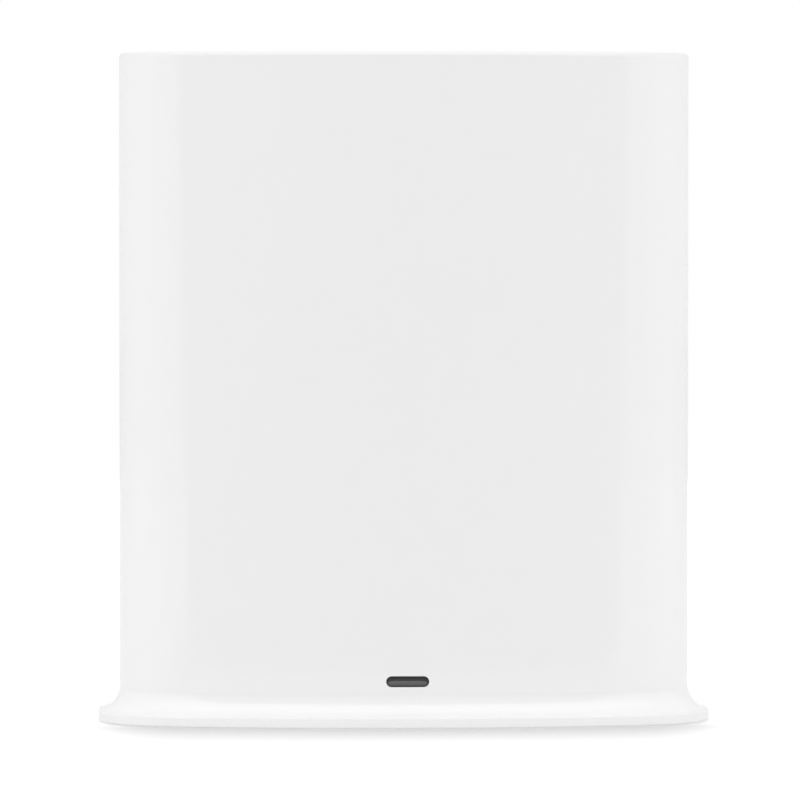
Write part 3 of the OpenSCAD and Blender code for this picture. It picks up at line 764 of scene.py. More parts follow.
SHELL_WHITE = ShellPlastic("white_plastic", (0.865, 0.865, 0.863), (0.055, 0.07), grain=420, patch=14,
                           spread=0.0015, relief=0.03, depth=0.01 * MM, dust=0.01, ior=1.55)
BASE_GREY = Moulded("base_plastic", (0.6, 0.6, 0.59), (0.5, 0.62), grain=2200, relief=0.35, dust=0.04)
RUBBER = Moulded("foot_rubber", (0.025, 0.025, 0.026), (0.62, 0.8), grain=1800, relief=0.4, dust=0.15)
SCREW_STEEL = Metal("screw_steel", (0.55, 0.55, 0.57), (0.24, 0.38), (900, 900, 900))
TINNED_STEEL = Metal("tinned_steel", (0.56, 0.56, 0.55), (0.22, 0.3), (1100, 300, 140), spread=0.05,
                     relief=0.02)
GOLD = Metal("contact_gold", (0.83, 0.6, 0.26), (0.14, 0.24), (2500, 300, 2500), spread=0.05)
BLACK_PLASTIC = Moulded("black_plastic", (0.018, 0.018, 0.019), (0.35, 0.5), grain=2600, relief=0.25)
INNER_FINISHES: tuple[Finish, ...] = (
    SHELL_WHITE, BASE_GREY, RUBBER, SCREW_STEEL, TINNED_STEEL, GOLD, BLACK_PLASTIC,
    ClearPlastic("clear_acrylic", (0.95, 0.97, 0.98), (0.04, 0.1), grain=600, patch=150, relief=0.05,
                 depth=0.02 * MM, dust=0, ior=1.49),
    Moulded("led_body", (0.8, 0.74, 0.5), (0.3, 0.4)),
    Laminate("board_laminate", (0.012, 0.11, 0.045), (0.02, 0.19, 0.07), (0.75, 0.6, 0.3), 320.0),
    Moulded("chip_black", (0.022, 0.022, 0.024), (0.45, 0.6), grain=4000, relief=0.3),
    Moulded("thermal_pad", (0.3, 0.36, 0.45), (0.6, 0.75), grain=1500, relief=0.3),
    Metal("sink_aluminium", (0.72, 0.73, 0.74), (0.3, 0.42), (3000, 3000, 150)),
    Moulded("white_nylon", (0.72, 0.71, 0.66), (0.4, 0.5)),
    Metal("capacitor_can", (0.62, 0.63, 0.65), (0.18, 0.28), (600, 150, 600)),
    Moulded("usb_insulator", (0.7, 0.7, 0.69), (0.32, 0.42)),
    Moulded("siren_plastic", (0.03, 0.03, 0.033), (0.4, 0.55), relief=0.25),
    Moulded("siren_film", (0.05, 0.05, 0.055), (0.25, 0.35), grain=700, relief=0.2),
    Metal("magnet_steel", (0.42, 0.42, 0.43), (0.22, 0.34), (400, 400, 400)),
    Moulded("gasket_foam", (0.03, 0.03, 0.03), (0.8, 0.95), grain=1400, relief=0.9, depth=0.2 * MM),
    Moulded("lead_sheath", (0.4, 0.02, 0.015), (0.35, 0.45)),
    Laminate("antenna_laminate", (0.28, 0.17, 0.03), (0.45, 0.26, 0.06), (0.8, 0.6, 0.3), 140.0),
    Moulded("cable_sheath", (0.02, 0.02, 0.02), (0.35, 0.5)),
)


# Housing

class Half(Enum):
    """The two shells of the housing."""

    FRONT = "front"
    REAR = "rear"


@dataclass(frozen=True)
class HousingPlan:
    """Plan and upright profile of the housing."""

    half_w: float
    half_d: float
    height: float
    seam_y: float
    foot_gap: float
    plate_top: float
    wall: float = 2.2 * MM
    front_r: float = 17.4 * MM
    back_r: float = 14.7 * MM
    flare_w: float = 5.3 * MM
    flare_h: float = 5.6 * MM
    flare_power: float = 1.6
    flare_steps: int = 20
    rim_h: float = 2.5 * MM
    rim_wall: float = 1.8 * MM
    rim_round: float = 0.3 * MM
    top_round: float = 1.0 * MM
    top_steps: int = 7
    seam_round: float = 0.14 * MM
    bow_steps: int = 72
    corner_steps: int = 26

    @classmethod
    def from_solids(cls) -> "HousingPlan":
        """Takes the main sizes from the solids' boxes."""
        low, high = CAD_BOX
        return cls(half_w=(high.x - low.x) / 2 - cls.flare_w, half_d=(high.y - low.y) / 2 - cls.flare_w,
                   height=high.z, seam_y=Solid("rear_shell").low.y, foot_gap=Solid("front_shell").low.z,
                   plate_top=Solid("base_plate").high.z)

    def bow(self) -> Point:
        """Works out the arc of the front, which runs smoothly into its corners.

        Returns:
            The arc's radius, and how far behind the middle its centre lies.
        """
        corner_x = self.half_w - self.front_r
        square = self.half_d ** 2 + corner_x ** 2 - self.front_r ** 2
        radius = square / (2 * (self.half_d - self.front_r))
        return radius, radius - self.half_d

    def path(self, half: Half, grow: float) -> list[Point]:
        """Walks along one shell's part of the plan, from seam to seam.

        Args:
            half: Which shell.
            grow: How far the plan is moved outwards.

        Returns:
            Points from the first seam to the other, anticlockwise.
        """
        side, corner_x = self.half_w + grow, self.half_w - self.front_r
        if half is Half.REAR:
            x, y, turn = self.half_w - self.back_r, self.half_d - self.back_r, self.back_r + grow
            return [(side, self.seam_y), *arc((x, y), turn, 0, 90, self.corner_steps),
                    *arc((-x, y), turn, 90, 180, self.corner_steps), (-side, self.seam_y)]
        bow, bow_y = self.bow()
        turn = self.front_r + grow
        lean = math.degrees(math.atan2(corner_x, bow_y))
        return [(-side, self.seam_y), *arc((-corner_x, 0), turn, 180, 270 - lean, self.corner_steps),
                *arc((0, bow_y), bow + grow, 270 - lean, 270 + lean, self.bow_steps)[1:-1],
                *arc((corner_x, 0), turn, 270 + lean, 360, self.corner_steps), (side, self.seam_y)]

    def points(self, grow: float = 0.0) -> list[Point]:
        """Walks round the whole plan, moved outwards by grow, anticlockwise."""
        return self.path(Half.FRONT, grow)[:-1] + self.path(Half.REAR, grow)[:-1]

    def outside(self) -> list[Point]:
        """Draws the upright profile of rim, flare, body and rounded top.

        Returns:
            Pairs of growth and height, from the bottom up.
        """
        rim, power = self.rim_round, 2 / self.flare_power
        rim_top, reach, rise = self.foot_gap + self.rim_h, self.flare_w - rim, self.flare_h
        rows = [(self.flare_w + g, z) for g, z in bar_profile(self.foot_gap, rim_top, rim, rim)]
        rows += [(reach * (1 - math.sin(a) ** power), rim_top + rise * (1 - abs(math.cos(a)) ** power))
                 for a in quarter(self.flare_steps)[1:]]
        return rows + bar_profile(0, self.height, 0, self.top_round, self.top_steps)[1:]

    def inside(self) -> list[Point]:
        """Draws the inner profile, with the ledge that the bottom plate lies under.

        Returns:
            Pairs of growth and height, from the top down.
        """
        ledge = self.flare_w - self.rim_wall
        return [(-self.wall, self.height - self.wall), (-self.wall, self.plate_top),
                (ledge, self.plate_top), (ledge, self.foot_gap)]

    def shell(self, half: Half, name: str) -> Object:
        """Builds one hollow shell with a fine rounded edge along its seam.

        Args:
            half: Which shell.
            name: Name of the new piece.

        Returns:
            The new piece, with no cuts in it yet.
        """
        skin = Skin()
        mesh = skin.mesh
        outer, inner = ([[mesh.verts.new((x, y, z)) for x, y in self.path(half, grow)] for grow, z in profile]
                        for profile in (self.outside(), self.inside()))
        for low, high in [*zip(outer, outer[1:]), *zip(inner, inner[1:]), (inner[-1], outer[0])]:
            for i in range(len(low) - 1):
                mesh.faces.new((low[i], low[i + 1], high[i + 1], high[i]))
        mesh.faces.new(outer[-1])
        mesh.faces.new(reversed(inner[0]))
        rim = [row[0] for row in outer] + [row[-1] for row in reversed(outer)]
        mesh.faces.new(rim + [row[-1] for row in reversed(inner)] + [row[0] for row in inner])
        bmesh.ops.recalc_face_normals(mesh, faces=mesh.faces)
        seam = [mesh.edges.get(pair) for pair in zip(rim, rim[1:])]
        bmesh.ops.bevel(mesh, geom=seam, offset=self.seam_round, offset_type="OFFSET", segments=2,
                        profile=0.5, affect="EDGES", clamp_overlap=False)
        return skin.to_object(name)


@dataclass
class Housing:
    """The two covers, the bottom plate with its screws, and the feet."""

    plan: HousingPlan
    bay: RoundRect = RoundRect(104 * MM, 19 * MM, 3 * MM)
    bay_depth: float = 1.2 * MM
    bay_pad: float = 2 * MM
    bay_floor_round: float = 0.35 * MM
    bay_round: float = 0.4 * MM
    window: RoundRect = RoundRect(10.7 * MM, 2.7 * MM, 1.35 * MM, 12)
    window_depth: float = 4 * MM
    window_round: float = 0.12 * MM
    vent: RoundRect = RoundRect(1.8 * MM, 10 * MM, 0.9 * MM)
    vent_count: int = 15
    vent_step: float = 5 * MM
    vent_drop: float = 18 * MM
    hole_round: float = 0.3 * MM
    hole_gap: float = 0.2 * MM
    grille_r: float = 20 * MM
    grille_round: float = 0.25 * MM
    port_turns: tuple[tuple[str, float], ...] = (
        ("ethernet_jack_shell", 0.55 * MM), ("usb_shell", 0.85 * MM), ("power_jack", 0.65 * MM))
    port_round: float = 0.15 * MM
    socket_gap: float = 0.1 * MM
    button_flange: float = 1.2 * MM
    pin_hole_r: float = 0.8 * MM
    boss_r: float = 3.2 * MM
    boss_h: float = 10 * MM
    boss_bite: float = 0.5 * MM
    pilot_r: float = 1.15 * MM
    pilot_h: float = 9 * MM
    board_inset: float = 5 * MM
    siren_screw: float = 19.5 * MM
    front_screw: Point = (62.95 * MM, -10.19 * MM)
    rear_screw: Point = (64.6 * MM, 16.8 * MM)
    screw_head: tuple[Point, ...] = ((0.2 * MM, 0.0), (1.35 * MM, 0.0), (1.8 * MM, 0.1 * MM),
                                     (2.08 * MM, 0.28 * MM), (2.2 * MM, 0.55 * MM), (2.2 * MM, 1.1 * MM))
    screw_ridge: float = 1.1 * MM
    screw_valley: float = 0.86 * MM
    screw_pitch: float = 0.8 * MM
    screw_neck: float = 0.2 * MM
    screw_tip: tuple[Point, Point] = ((0.7 * MM, -0.5 * MM), (0.2 * MM, 0.0))
    cross: Point = (2.5 * MM, 0.55 * MM)
    cross_round: float = 0.12 * MM
    cross_rows: tuple[Point, Point] = ((-0.12 * MM, 0.7 * MM), (0.06 * MM, -0.2 * MM))
    screw_seat_round: float = 0.25 * MM
    foot_r: float = 5 * MM
    foot_x: float = 49.8 * MM
    foot_y: Point = (-15 * MM, 18 * MM)
    foot_seat_round: float = 0.2 * MM
    edge_round: float = 0.35 * MM
    tread: tuple[Point, ...] = ((3.6 * MM, 0.0), (3.45 * MM, 0.12 * MM), (3.1 * MM, 0.12 * MM),
                                (2.95 * MM, 0.0), (0.3 * MM, 0.0))

    def __post_init__(self) -> None:
        """Works out the places of screws and feet, and of the back's inner faces."""
        self.feet = [Vector((x, y, 0)) for x in (-self.foot_x, self.foot_x) for y in self.foot_y]
        self.screws = {half: [Vector((s * x, y, 0)) for s in (-1, 1)]
                       for half, (x, y) in ((Half.FRONT, self.front_screw), (Half.REAR, self.rear_screw))}
        self.all_screws = [*self.screws[Half.FRONT], *self.screws[Half.REAR]]
        self.inner_back = self.plan.half_d - self.plan.wall
        self.bay_floor = self.plan.half_d - self.bay_depth

    @staticmethod
    def uprights(places: Sequence[Vector], outline: Outline, profile: Sequence[Point]) -> list[Bar]:
        """Makes the same upright bar at each place."""
        return [Bar(outline, profile, at, Axis.Z) for at in places]

    def bosses(self, half: Half) -> list[Bar]:
        """Makes the upright bosses that take the bottom plate's screws."""
        rows = [(0, self.plan.plate_top), (0, self.plan.plate_top + self.boss_h)]
        return self.uprights(self.screws[half], Disc(self.boss_r, 24), rows)

    def pilots(self, half: Half) -> list[Bar]:
        """Makes the pilot holes of those bosses."""
        rows = [(0, self.plan.plate_top + self.pilot_h), (0, self.plan.plate_top - MM)]
        return self.uprights(self.screws[half], Disc(self.pilot_r, 16), rows)

    def button_hole(self, node: str, steps: int, profile: Sequence[Point]) -> Bar:
        """Makes the hole of a round button, a little wider than its cap."""
        button = Solid(node)
        return Bar(Disc(button.size.x / 2 - self.button_flange + self.hole_gap, steps), profile, button.at)

    def front_cover(self) -> None:
        """Builds the bowed front with its window slot."""
        cover, face = self.plan.shell(Half.FRONT, "front_cover"), -self.plan.half_d
        carve(cover, Carve.ADD, *self.bosses(Half.FRONT))
        slot = cut_profile(face + self.window_depth, face, 0, self.window_round)
        carve(cover, Carve.CUT, *self.pilots(Half.FRONT), Bar(self.window, slot, Solid("status_lens").at))
        dress(cover, SHELL_WHITE, STATION, "front_shell")

    def rear_cover(self) -> None:
        """Builds the back with its port bay, vents, grille opening, button holes and bosses."""
        cover = self.plan.shell(Half.REAR, "rear_cover")
        carve(cover, Carve.ADD, *self.rear_bosses())
        carve(cover, Carve.CUT, *self.rear_openings())
        carve(cover, Carve.CUT, *self.bay_openings())
        dress(cover, SHELL_WHITE, STATION, "rear_shell")

    def rear_bosses(self) -> list[Bar]:
        """Makes the pad behind the port bay and the bosses for the board, the siren and the screws.

        Returns:
            The bars to add.
        """
        bay, grow, post = self.bay, self.bay_pad, Disc(self.boss_r, 32)
        pad = RoundRect(bay.width + 2 * grow, bay.height + 2 * grow, bay.radius + grow)
        sunk = self.inner_back + self.boss_bite
        low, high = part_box("main_board")
        inset, reach = self.board_inset, self.siren_screw
        siren, seat = Solid("siren_grille").at, Solid("siren_gasket").low.y
        behind = Bar(pad, [(0, self.inner_back - self.bay_depth), (0, sunk)], Solid("ethernet_jack_shell").at)
        board = [Bar(post, [(0, high.y), (0, sunk)], Vector((x, 0, z)))
                 for x in (low.x + inset, high.x - inset) for z in (low.z + inset, high.z - inset)]
        horn = [Bar(post, [(0, seat), (0, sunk)], siren + Vector((x, 0, z)))
                for x in (-reach, reach) for z in (-reach, reach)]
        return [behind, *board, *horn, *self.bosses(Half.REAR)]

    def rear_openings(self) -> list[Bar]:
        """Makes the cuts that open in the back's outer face, and the screws' pilot holes.

        Returns:
            The bars to cut.
        """
        face, through = self.plan.half_d, self.inner_back - MM
        sunk = cut_profile(self.bay_floor, face, self.bay_floor_round, self.bay_round, 5)
        hole = cut_profile(through, face, 0, self.hole_round)
        start, vent_z = -(self.vent_count - 1) / 2, self.plan.height - self.vent_drop
        vents = [Bar(self.vent, hole, Vector(((start + i) * self.vent_step, 0, vent_z)))
                 for i in range(self.vent_count)]
        grille = cut_profile(through, face, 0, self.grille_round)
        return [Bar(self.bay, sunk, Solid("ethernet_jack_shell").at), *vents,
                Bar(Disc(self.grille_r, 128), grille, Solid("siren_grille").at),
                self.button_hole("sync_button", 72, hole), *self.pilots(Half.REAR)]

    def bay_openings(self) -> list[Bar]:
        """Makes the cuts that open in the port bay's floor.

        Returns:
            The bars to cut.
        """
        mouth = cut_profile(self.inner_back - self.bay_depth - MM, self.bay_floor, 0, self.port_round)
        ports = []
        for node, turn in self.port_turns:
            size = Solid(node).size + Vector.Fill(3, 2 * self.socket_gap)
            ports.append(Bar(RoundRect(size.x, size.z, turn), mouth, Solid(node).at))
        return [*ports, self.button_hole("power_button", 64, mouth),
                Bar(Disc(self.pin_hole_r, 32), mouth, Solid("reset_plunger").at)]

    def bottom_plate(self) -> None:
        """Builds the plate under the station, with seats for the feet and the screws' heads."""
        low, high = (corner.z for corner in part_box("base_plate"))
        edge = self.plan.flare_w - self.plan.rim_wall - self.socket_gap
        rows = [(edge + g, z) for g, z in bar_profile(high, low, 0, self.edge_round)]
        plate = Skin(Bar(self.plan, rows, Vector(), Axis.Z)).to_object("bottom_plate")
        head_r, head_h = self.screw_head[-1]
        foot = cut_profile(Solid("rubber_feet").high.z, low, 0, self.foot_seat_round)
        head = cut_profile(low + head_h, low, 0, self.screw_seat_round)
        carve(plate, Carve.CUT, *self.uprights(self.feet, Disc(self.foot_r + self.socket_gap), foot),
              *self.uprights(self.all_screws, Disc(head_r + self.socket_gap, 40), head))
        shank = [(0, low), (0, high + MM)]
        carve(plate, Carve.CUT, *self.uprights(self.all_screws, Disc(self.pilot_r, 24), shank))
        dress(plate, BASE_GREY, STATION, "base_plate")

    def rubber_pads(self) -> None:
        """Builds the four feet, with rounded rims and a shallow ring in the tread."""
        low, high = (corner.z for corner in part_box("rubber_feet"))
        side = bar_profile(high - EDGE_LOOP, low, 0, self.edge_round)
        rows = [(self.foot_r, high), *((self.foot_r + g, z) for g, z in side),
                *((r, low + z) for r, z in self.tread)]
        pads = Skin(*self.uprights(self.feet, Disc(), rows)).to_object("rubber_pads")
        dress(pads, RUBBER, STATION, "rubber_feet")

    def plate_screws(self) -> None:
        """Builds the bottom plate's cross-head screws with ridged shanks."""
        low, high = (corner.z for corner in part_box("base_screws"))
        head, valley, pitch = self.screw_head[-1][1], self.screw_valley, self.screw_pitch
        rows = [*((r, low + z) for r, z in self.screw_head), (valley, low + head)]
        for i in range(int((high - low - head - MM) / pitch)):
            z = low + head + self.screw_neck + i * pitch
            rows += [(valley, z), (self.screw_ridge, z + 0.3 * pitch), (valley, z + 0.6 * pitch)]
        rows += [(r, high + z) for r, z in self.screw_tip]
        screws = Skin(*self.uprights(self.all_screws, Disc(0, 32), rows)).to_object("plate_screws")
        recess = [(g, low + z) for g, z in self.cross_rows]
        for size in (self.cross, self.cross[::-1]):
            slot = RoundRect(*size, self.cross_round, 3)
            carve(screws, Carve.CUT, *self.uprights(self.all_screws, slot, recess))
        dress(screws, SCREW_STEEL, STATION, "base_screws")

    def build(self) -> None:
        """Builds every piece of the housing."""
        self.front_cover()
        self.rear_cover()
        self.bottom_plate()
        self.rubber_pads()
        self.plate_screws()


@dataclass
class StatusLight:
    """The smoked window low on the front."""

    window: RoundRect = RoundRect(10.5 * MM, 2.5 * MM, 1.25 * MM, 14)
    flange: float = 1.3 * MM
    flange_t: float = 1.0 * MM
    crown: float = 0.3 * MM
    crown_w: float = 1.2 * MM
    crown_steps: int = 12
    end_colour: Colour = (0.034, 0.034, 0.034)
    # Painted reflection on the window: ramp stops, pale below the middle and dark above it.
    painted_reflection_bands: tuple[Point, ...] = ((0.0, 0.028), (0.1, 0.062), (0.25, 0.079), (0.45, 0.109), (0.54, 0.115),
                                (0.57, 0.051), (0.75, 0.042), (1.0, 0.03))

    def build(self) -> None:
        """Builds the window as a pill with a crowned face and a flange behind the wall."""
        lens = Solid("status_lens")
        front, back = lens.low.y, lens.high.y
        rows = [(self.flange, back), (self.flange, back - self.flange_t), (0.0, back - self.flange_t)]
        for i in range(self.crown_steps + 1):
            t = i / self.crown_steps
            rows.append((-self.crown_w * t, front + self.crown * (1 - math.sqrt(1 - (1 - t) ** 3))))
        finish = SmokedWindow("smoked_lens", self.end_colour, (0.08, 0.13), grain=900, patch=400, relief=0.04,
                              depth=0.02 * MM, dust=0, centre=lens.at.z, half_width=self.window.width / 2,
                              half_height=self.window.height / 2, painted_reflection_bands=self.painted_reflection_bands)
        pill = Skin(Bar(self.window, rows, lens.at)).to_object("status_window")
        dress(pill, finish, STATION, "status_lens")


@dataclass
class SocketRow:
    """The network, USB and power sockets on the back."""

    mouth: PlugWay = PlugWay(11.9 * MM, 7 * MM, 6.4 * MM, 1.7 * MM)
    mouth_lift: float = 1.2 * MM
    mouth_round: float = 0.12 * MM
    can_t: float = 0.4 * MM
    can_r: float = 0.5 * MM
    room_r: float = 0.2 * MM
    edge: float = 0.25 * MM
    usb_r: float = 0.75 * MM
    usb_lip: tuple[Point, ...] = ((0.0, -0.15 * MM), (-0.05 * MM, -0.04 * MM), (-0.15 * MM, 0.0),
                                  (-0.27 * MM, -0.06 * MM), (-0.3 * MM, -0.2 * MM))
    power_r: float = 0.6 * MM
    bore_r: float = 3.1 * MM
    bore_depth: float = 10.4 * MM
    bore_round: float = 0.4 * MM
    pin_round: float = 0.6 * MM

    def block(self, name: str, solid: Solid, turn: float) -> Object:
        """Builds a socket's block over its solid's box, with its long edges and its face's rim rounded.

        Args:
            name: Name of the new piece.
            solid: The socket's box.
            turn: Radius of the long edges.

        Returns:
            The new piece, with no cuts in it yet.
        """
        outline = RoundRect(solid.size.x, solid.size.z, turn)
        rows = bar_profile(solid.low.y, solid.high.y, 0, self.edge)
        return Skin(Bar(outline, rows, solid.at)).to_object(name)

    def network_can(self) -> None:
        """Builds the network socket's folded metal can with the plug's mouth in its face."""
        jack, t = Solid("ethernet_jack_shell"), self.can_t
        can, face = self.block("network_can", jack, self.can_r), jack.high.y
        room = RoundRect(jack.size.x - 2 * t, jack.size.z - 2 * t, self.room_r)
        carve(can, Carve.CUT, Bar(room, [(0, jack.low.y - MM), (0, face - t)], jack.at))
        way = cut_profile(face - MM, face, 0, self.mouth_round)
        carve(can, Carve.CUT, Bar(self.mouth, way, jack.at + Vector((0, 0, self.mouth_lift))))
        dress(can, TINNED_STEEL, STATION, "ethernet_jack_shell")

    def usb_can(self) -> None:
        """Builds the USB socket's folded metal tube with a rolled lip."""
        tube, low = Solid("usb_shell"), Solid("usb_shell").low.y
        rows = [(0, low), *((g, tube.high.y + y) for g, y in self.usb_lip), (self.usb_lip[-1][0], low)]
        skin = Skin(Bar(RoundRect(tube.size.x, tube.size.z, self.usb_r), rows, tube.at, ends=Ends.JOINED))
        dress(skin.to_object("usb_can"), TINNED_STEEL, STATION, "usb_shell")

    def power_socket(self) -> None:
        """Builds the power socket's body with its countersunk bore, and the pin in it."""
        jack, pin = Solid("power_jack"), Solid("power_jack_pin")
        socket, face = self.block("power_socket", jack, self.power_r), jack.high.y
        bore = cut_profile(face - self.bore_depth, face, 0, self.bore_round)
        carve(socket, Carve.CUT, Bar(Disc(self.bore_r), bore, jack.at))
        dress(socket, BLACK_PLASTIC, STATION, "power_jack")
        rows = bar_profile(pin.low.y, pin.high.y, 0, self.pin_round, 6)
        skin = Skin(Bar(Disc(pin.size.x / 2, 40), rows, pin.at))
        dress(skin.to_object("power_pin"), TINNED_STEEL, STATION, "power_jack_pin")

    def build(self) -> None:
        """Builds the three sockets."""
        self.network_can()
        self.usb_can()
        self.power_socket()


@dataclass
class ButtonCap:
    """A round button cap with a dished face, a flange behind the wall and a stem."""

    name: str
    node: str
    body: str
    flange_y: float
    flange: float = 1.2 * MM
    flange_t: float = 1.0 * MM
    stem_r: float = 2.0 * MM
    stem_edge: float = 0.2 * MM
    edge: float = 0.45 * MM
    dish: float = 0.25 * MM
    dish_rim: float = 0.15 * MM
    dish_power: float = 1.5
    pole: float = 0.15 * MM

    def build(self) -> None:
        """Turns the cap's profile about its own axis."""
        cap, stem, bevel = Solid(self.node), self.stem_r, self.stem_edge
        low, high, wide = cap.low.y, cap.high.y, cap.size.x / 2
        r, front, back = wide - self.flange, self.flange_y, self.flange_y - self.flange_t
        rows = [(bevel, low), (stem - bevel, low), (stem, low + bevel), (stem, back), (wide, back),
                (wide, front), (r, front)]
        rows += [(r + g, y) for g, y in bar_profile(front + EDGE_LOOP, high, 0, self.edge, 6)]
        hollow = r - self.edge - self.dish_rim
        rows += [(hollow * math.cos(a), high - self.dish * math.sin(a) ** self.dish_power)
                 for a in quarter(10)[:-1]]
        rows.append((self.pole, high - self.dish))
        skin = Skin(Bar(Disc(0, 80), rows, cap.at))
        dress(skin.to_object(self.name), SHELL_WHITE, self.body, self.node)


@dataclass
class SirenFront:
    """The round grille in front of the siren."""

    rings: int = 4
    step: float = 3.9 * MM
    hole: Disc = Disc(0.9 * MM, 24)
    hole_round: float = 0.16 * MM
    gap: float = 0.1 * MM
    flange: float = 2.5 * MM
    flange_t: float = 1.0 * MM
    edge: float = 0.3 * MM

    def build(self) -> None:
        """Builds the disc and cuts its rings of holes."""
        grille = Solid("siren_grille")
        low, high, wide = grille.low.y, grille.high.y, grille.size.x / 2
        r, back = wide - self.flange - self.gap, low + self.flange_t
        rows = [(wide, low), (wide, back), (r, back)]
        rows += [(r + g, y) for g, y in bar_profile(back + EDGE_LOOP, high, 0, self.edge, 5)]
        disc = Skin(Bar(Disc(0, 128), rows, grille.at)).to_object("siren_front")
        places = [(0.0, 0.0)]
        for ring in range(1, self.rings + 1):
            places += arc((0, 0), ring * self.step, 0, 360 - 60 / ring, 6 * ring - 1)
        mouth = cut_profile(low - MM, high, 0, self.hole_round, 3)
        carve(disc, Carve.CUT, *(Bar(self.hole, mouth, grille.at + Vector((x, 0, z))) for x, z in places))
        dress(disc, SHELL_WHITE, STATION, "siren_grille")


class Innards:
    """The solids that keep their own shapes."""

    def __init__(self, record: dict) -> None:
        """Keeps which slot each solid has."""
        self.slots = {row["node"]: row["material_slot"] for row in record["subparts"]}

    def build(self) -> None:
        """Gives each solid that still shows its finish."""
        finishes = {finish.slot: finish for finish in INNER_FINISHES}
        for name, solid in frame["nodes"].items():
            if solid.hide_render:
                continue
            made = finishes[self.slots[name]].material()
            for place in solid.material_slots:
                place.material = made
            LOG.info("%s keeps its shape, in %s", name, made.name)


# Studio

@dataclass(frozen=True)
class Lamp:
    """A square soft lamp that looks at the station."""

    name: str
    place: Place
    size: float
    power: float
    aim: Place = (0.0, 0.0, 0.05)

    def build(self) -> None:
        """Hangs the lamp."""
        data = bpy.data.lights.new(self.name, "AREA")
        data.size, data.energy = self.size, self.power
        lamp = bpy.data.objects.new(self.name, data)
        lamp.location = self.place
        lamp.rotation_euler = (Vector(self.aim) - lamp.location).to_track_quat("-Z", "Y").to_euler()
        lamp.visible_glossy = False
        bpy.context.scene.collection.objects.link(lamp)


